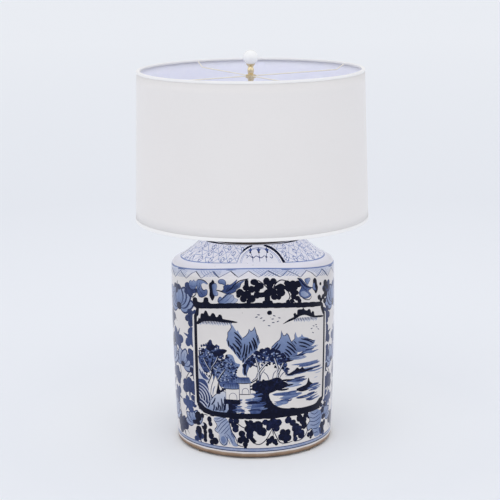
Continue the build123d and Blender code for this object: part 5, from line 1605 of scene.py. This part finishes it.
def build_jar():
    """Joins the walls, the foot ring, the floor and the neck into one closed body."""
    crease = math.radians(32)
    points, faces, inks, charts = make_walls()
    wall_faces = len(faces)
    for outline in turned_outlines():
        base = len(points)
        count = len(outline)
        length = [0.0]
        for here, after in zip(outline, outline[1:]):
            length.append(length[-1] + math.dist(here, after))
        for spot in range(jar_segments + 1):
            angle = (seam_s + full_turn * spot / jar_segments) / turn_length
            for radius, level in outline:
                flat = (radius * math.sin(angle) * MM, -radius * math.cos(angle) * MM)
                points.append((*flat, level * MM))
        for spot in range(jar_segments):
            for row in range(count - 1):
                here = base + spot * count + row
                faces.append([here, here + 1, here + count + 1, here + count])
                for ahead, up in ((0, 0), (0, 1), (1, 1), (1, 0)):
                    across = (spot + ahead) / jar_segments
                    charts.append((across, 0.285 * length[row + up] / length[-1]))
                    inks.append(0.0)
    base = len(points)
    for radius_at in (jar_radius, inner_radius):
        for s, t in bore_circle(radius_at):
            points.append(on_jar(s, t, radius_at, lambda level: level))
    for spot in range(bore_segments):
        here, beside = base + spot, base + (spot + 1) % bore_segments
        faces.append([here, here + bore_segments, beside + bore_segments, beside])
        charts += [(0.0, 0.0), (0.01, 0.0), (0.01, 0.01), (0.0, 0.01)]
        inks += [0.0] * 4

    mesh = bpy.data.meshes.new("jar_body")
    mesh.from_pydata(points, [], faces)
    ink = mesh.attributes.new("ink", "FLOAT", "CORNER")
    ink.data.foreach_set("value", inks)
    chart = mesh.uv_layers.new(name="Chart")
    chart.data.foreach_set("uv", [part for spot in charts for part in spot])
    outside = mesh.attributes.new("outside", "INT", "FACE")
    outside.data.foreach_set("value", [int(face < wall_faces) for face in range(len(faces))])
    work = bmesh.new()
    work.from_mesh(mesh)
    bmesh.ops.remove_doubles(work, verts=work.verts, dist=0.00001)
    bmesh.ops.dissolve_degenerate(work, edges=work.edges, dist=0.000002)
    for edge in work.edges:
        edge.smooth = edge.calc_face_angle(0.0) < crease
    work.to_mesh(mesh)
    work.free()
    mesh.polygons.foreach_set("use_smooth", [True] * len(mesh.polygons))
    marks = mesh.attributes["outside"].data
    normals = [(0.0, 0.0, 0.0)] * len(mesh.loops)
    for polygon in mesh.polygons:
        if marks[polygon.index].value:
            for corner in polygon.loop_indices:
                normal = outer_normal(mesh.vertices[mesh.loops[corner].vertex_index].co)
                if normal is not None:
                    normals[corner] = tuple(normal)
    mesh.normals_split_custom_set(normals)
    return new_object("jar_body", mesh)


def porcelain_finish():
    """Hand-painted cobalt under a slightly uneven glaze, with bare clay at the foot; painted light
    on the shoulder, painted shadow at the foot's bottom.
    """
    clay = Finish(
        "porcelain",
        Specular_IOR_Level=0.1,
        Sheen_Weight=0.42,
        Sheen_Roughness=0.3,
        Sheen_Tint=(0.85, 0.86, 1.0, 1.0),
    )
    ink = clay.node("Attribute", attribute_name="ink").outputs["Fac"]
    grain = clay.noise(1400.0, 4.0, 0.65)
    pool = clay.noise(160.0, 3.0)
    patch = clay.sum(clay.reach(grain, 0.8, 1.26), clay.reach(pool, 0.84, 1.22), "MULTIPLY")
    wet = clay.sum(ink, patch, "MULTIPLY", clamp=True)
    body = clay.ramp(clay.noise(9.0, 3.0), [(0.3, (0.65, 0.625, 0.625)),
                                            (0.7, (0.71, 0.685, 0.67))])
    cobalt = clay.ramp(
        wet,
        [
            (0.0, (1.0, 1.0, 1.0)),
            (0.16, (0.62, 0.70, 0.88)),
            (0.36, (0.26, 0.36, 0.62)),
            (0.62, (0.065, 0.11, 0.30)),
            (0.88, (0.008, 0.014, 0.065)),
            (1.0, (0.003, 0.005, 0.022)),
        ],
    )
    # Painted light: the glaze turns paler between 352 and 374 mm up and stays so over the shoulder,
    # against the shade's shadow there.
    height = clay.split()["Z"]
    rise = clay.node("MapRange", {"Value": height, "From Min": 0.352, "From Max": 0.374}).outputs[0]
    body = clay.blend(rise, body, (0.97, 0.955, 0.99))
    painted = clay.blend(1.0, body, cobalt, "MULTIPLY")
    cells = clay.node("TexVoronoi", {"Vector": clay.place(), "Scale": 95.0})
    near = clay.node("Math", {0: cells.outputs["Distance"], 1: 0.075},
                     operation="LESS_THAN").outputs[0]
    pick = clay.node("SeparateColor", {"Color": cells.outputs["Color"]}).outputs["Red"]
    some = clay.node("Math", {0: pick, 1: 0.36}, operation="LESS_THAN").outputs[0]
    speck = clay.sum(near, some, "MULTIPLY")
    painted = clay.blend(clay.sum(speck, 0.6, "MULTIPLY"), painted, (0.05, 0.04, 0.035))
    edge = clay.sum(height, clay.reach(clay.noise(28.0, 3.0), -0.0024, 0.0024))
    bare = clay.node("MapRange", {"Value": edge, "From Min": 0.0117, "From Max": 0.0108}).outputs[0]
    # Bare clay: its own mottled tan, darkened towards the table as a painted contact shadow.
    bare_clay_and_painted_shadow = clay.ramp(
        clay.sum(clay.reach(clay.noise(60.0, 5.0), 0.0, 0.4), clay.sum(height, 55.0, "MULTIPLY")),
        [(0.15, (0.08, 0.05, 0.035)), (0.5, (0.20, 0.13, 0.085)), (0.85, (0.42, 0.31, 0.235))],
    )
    clay.drive("Base Color", clay.blend(bare, painted, bare_clay_and_painted_shadow))
    shine = clay.reach(clay.noise(200.0, 2.0), 0.09, 0.16)
    clay.drive("Roughness", clay.node("Mix", {0: bare, 2: shine, 3: 0.85}).outputs[0])
    clay.bump(clay.noise(45.0, 2.0), 0.18, 0.0012)
    return clay.material


jar_body = build_jar()
dress([jar_body], porcelain_finish())
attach(jar_body, "base")
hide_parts("jar")

# ================================================================ CAD nodes
brass = metal_finish("brass", (0.84, 0.72, 0.48), (0.62, 0.50, 0.30), 0.26)
steel = metal_finish("steel", (0.62, 0.62, 0.63), (0.45, 0.45, 0.46), 0.32)
for nodes, metal in (
    ("check_ring brass_spool harp_saddle harp_wire harp_top ferrule_back ferrule_front", brass),
    ("socket_cap socket_shell terminal_screws screw_shell centre_contact", brass),
    ("spider_washer finial_base", brass),
    ("lamp_pipe steel_washer lock_washer hex_nut set_screw switch_shaft", steel),
):
    dress(nodes.split(), metal)
dress(["liner_seam"], liner_material)
for nodes, name, light, dark, roughness in (
    ("bulb_base", "bulb_metal", (0.80, 0.80, 0.79), (0.66, 0.66, 0.65), 0.28),
    ("bulb_filament", "filament_wire", (0.30, 0.30, 0.31), (0.2, 0.2, 0.2), 0.5),
):
    dress(nodes.split(), metal_finish(name, light, dark, roughness))
dress(
    ["bulb_tip"],
    plain_finish("solder", (0.55, 0.55, 0.56), (0.42, 0.42, 0.43), 0.4, Metallic=0.8),
)
for nodes, name, light, dark, roughness, grain, depth in (
    ("felt_pads", "felt", (0.36, 0.31, 0.25), (0.27, 0.23, 0.18), 0.95, 900, 0.0006),
    ("cord_grommet rubber_washer", "rubber", (0.035, 0.035, 0.037), (0.02, 0.02, 0.022), 0.6,
     300, 0.0002),
    ("socket_liner", "card", (0.42, 0.31, 0.19), (0.33, 0.23, 0.13), 0.85, 300, 0.0002),
    ("socket_body switch_knob", "phenolic", (0.035, 0.03, 0.026), (0.02, 0.017, 0.015), 0.35,
     300, 0.0002),
    ("bulb_insulator", "black_glass", (0.02, 0.02, 0.022), (0.012, 0.012, 0.014), 0.15,
     300, 0.0002),
    ("bulb_glass", "frosted_glass", (0.90, 0.90, 0.88), (0.86, 0.86, 0.84), 0.35, 500, 0.0002),
    ("bulb_stem", "clear_glass", (0.88, 0.88, 0.88), (0.84, 0.84, 0.84), 0.1, 300, 0.0002),
    ("spider_arms top_ring bottom_ring", "shade_wire", (0.90, 0.86, 0.77), (0.84, 0.80, 0.71),
     0.35, 300, 0.0002),
    ("fabric_seam", "shade_fabric_seam", (0.81, 0.81, 0.81), (0.77, 0.77, 0.77), 0.9,
     900, 0.0002),
    ("finial_ball", "white_ceramic", (0.96, 0.965, 0.96), (0.93, 0.935, 0.93), 0.12, 60, 0.0002),
    ("neck_cap", "dark_wood", (0.05, 0.028, 0.02), (0.02, 0.012, 0.01), 0.3, 60, 0.0002),
):
    dress(nodes.split(), plain_finish(name, light, dark, roughness, grain, depth))


# ================================================================ studio
def make_floor():
    """A wide pale floor, painted lighter around the lamp against the lamp's shadow on it."""
    half = 40.0
    mesh = bpy.data.meshes.new("floor")
    mesh.from_pydata([(-half, -half, 0), (half, -half, 0), (half, half, 0), (-half, half, 0)], [],
                     [(0, 1, 2, 3)])
    floor = new_object("floor", mesh)
    pale = Finish("floor", Roughness=0.9, Specular_IOR_Level=0.0)
    spot = pale.split()
    across = pale.sum(spot["X"], spot["X"], "MULTIPLY")
    back = pale.sum(spot["Y"], 0.08, "SUBTRACT")
    away = pale.sum(pale.sum(across, pale.sum(back, back, "MULTIPLY")), 0.5, "POWER")
    share = pale.sum(away, 0.1, "MULTIPLY", clamp=True)
    # near and mild are painted light: they lighten the floor under and round the lamp, most where
    # its shadow falls.
    near, mild, wide = (0.97, 0.985, 1.0), (0.88, 0.905, 0.95), (0.825, 0.85, 0.895)
    colour = pale.ramp(share, [(0.012, near), (0.05, mild), (0.07, mild), (0.25, wide),
                               (0.9, (0.87, 0.893, 0.927))])
    pale.drive("Base Color", colour)
    mesh.materials.append(pale.material)


def make_world():
    """A bright room: most light from the sides, less from the camera's side."""
    world = bpy.data.worlds.new("studio")
    bpy.context.scene.world = world
    world.use_nodes = True
    tree = world.node_tree
    spot = add_node(tree, "TexCoord").outputs["Generated"]
    split = add_node(tree, "SeparateXYZ", {0: spot}).outputs
    limits = {"From Min": -1.0, "From Max": 0.3, "To Min": 0.44, "To Max": 0.74}
    ramp = add_node(tree, "MapRange", {"Value": split["Y"], **limits}).outputs[0]
    both = {0: split["X"], 1: split["X"]}
    sides = add_node(tree, "Math", both, operation="MULTIPLY").outputs[0]
    sums = {0: sides, 1: 0.42, 2: ramp}
    level = add_node(tree, "Math", sums, operation="MULTIPLY_ADD").outputs[0]
    tint = {0: 1.0, 6: (0.97, 0.975, 1.0, 1.0), 7: level}
    shade = add_node(tree, "Mix", tint, data_type="RGBA", blend_type="MULTIPLY")
    back = tree.nodes["Background"]
    tree.links.new(shade.outputs[2], back.inputs["Color"])
    back.inputs["Strength"].default_value = 1.0


def make_sun(name, towards, strength, softness):
    """A soft light from far away, so that the floor stays even."""
    data = bpy.data.lights.new(name, "SUN")
    data.energy = strength
    data.angle = math.radians(softness)
    sun = bpy.data.objects.new(name, data)
    sun.rotation_euler = Vector(towards).to_track_quat("-Z", "Y").to_euler()
    bpy.context.scene.collection.objects.link(sun)


def make_camera():
    """The photograph's view."""
    data = bpy.data.cameras.new("camera")
    data.lens = camera_lens
    data.sensor_width = 36.0
    data.clip_end = 200.0
    camera = bpy.data.objects.new("camera", data)
    camera.location = camera_place
    camera.rotation_euler = (math.radians(90 - camera_pitch), math.radians(camera_roll), 0)
    bpy.context.scene.collection.objects.link(camera)
    bpy.context.scene.camera = camera


make_floor()
make_world()
make_sun("left_light", (0.53, 0.76, -0.38), 0.42, 60)
make_sun("right_light", (-0.53, 0.76, -0.38), 0.36, 60)
make_sun("top_light", (0.05, 0.5, -0.82), 0.42, 50)
make_camera()
bpy.context.scene.view_settings.view_transform = "Standard"
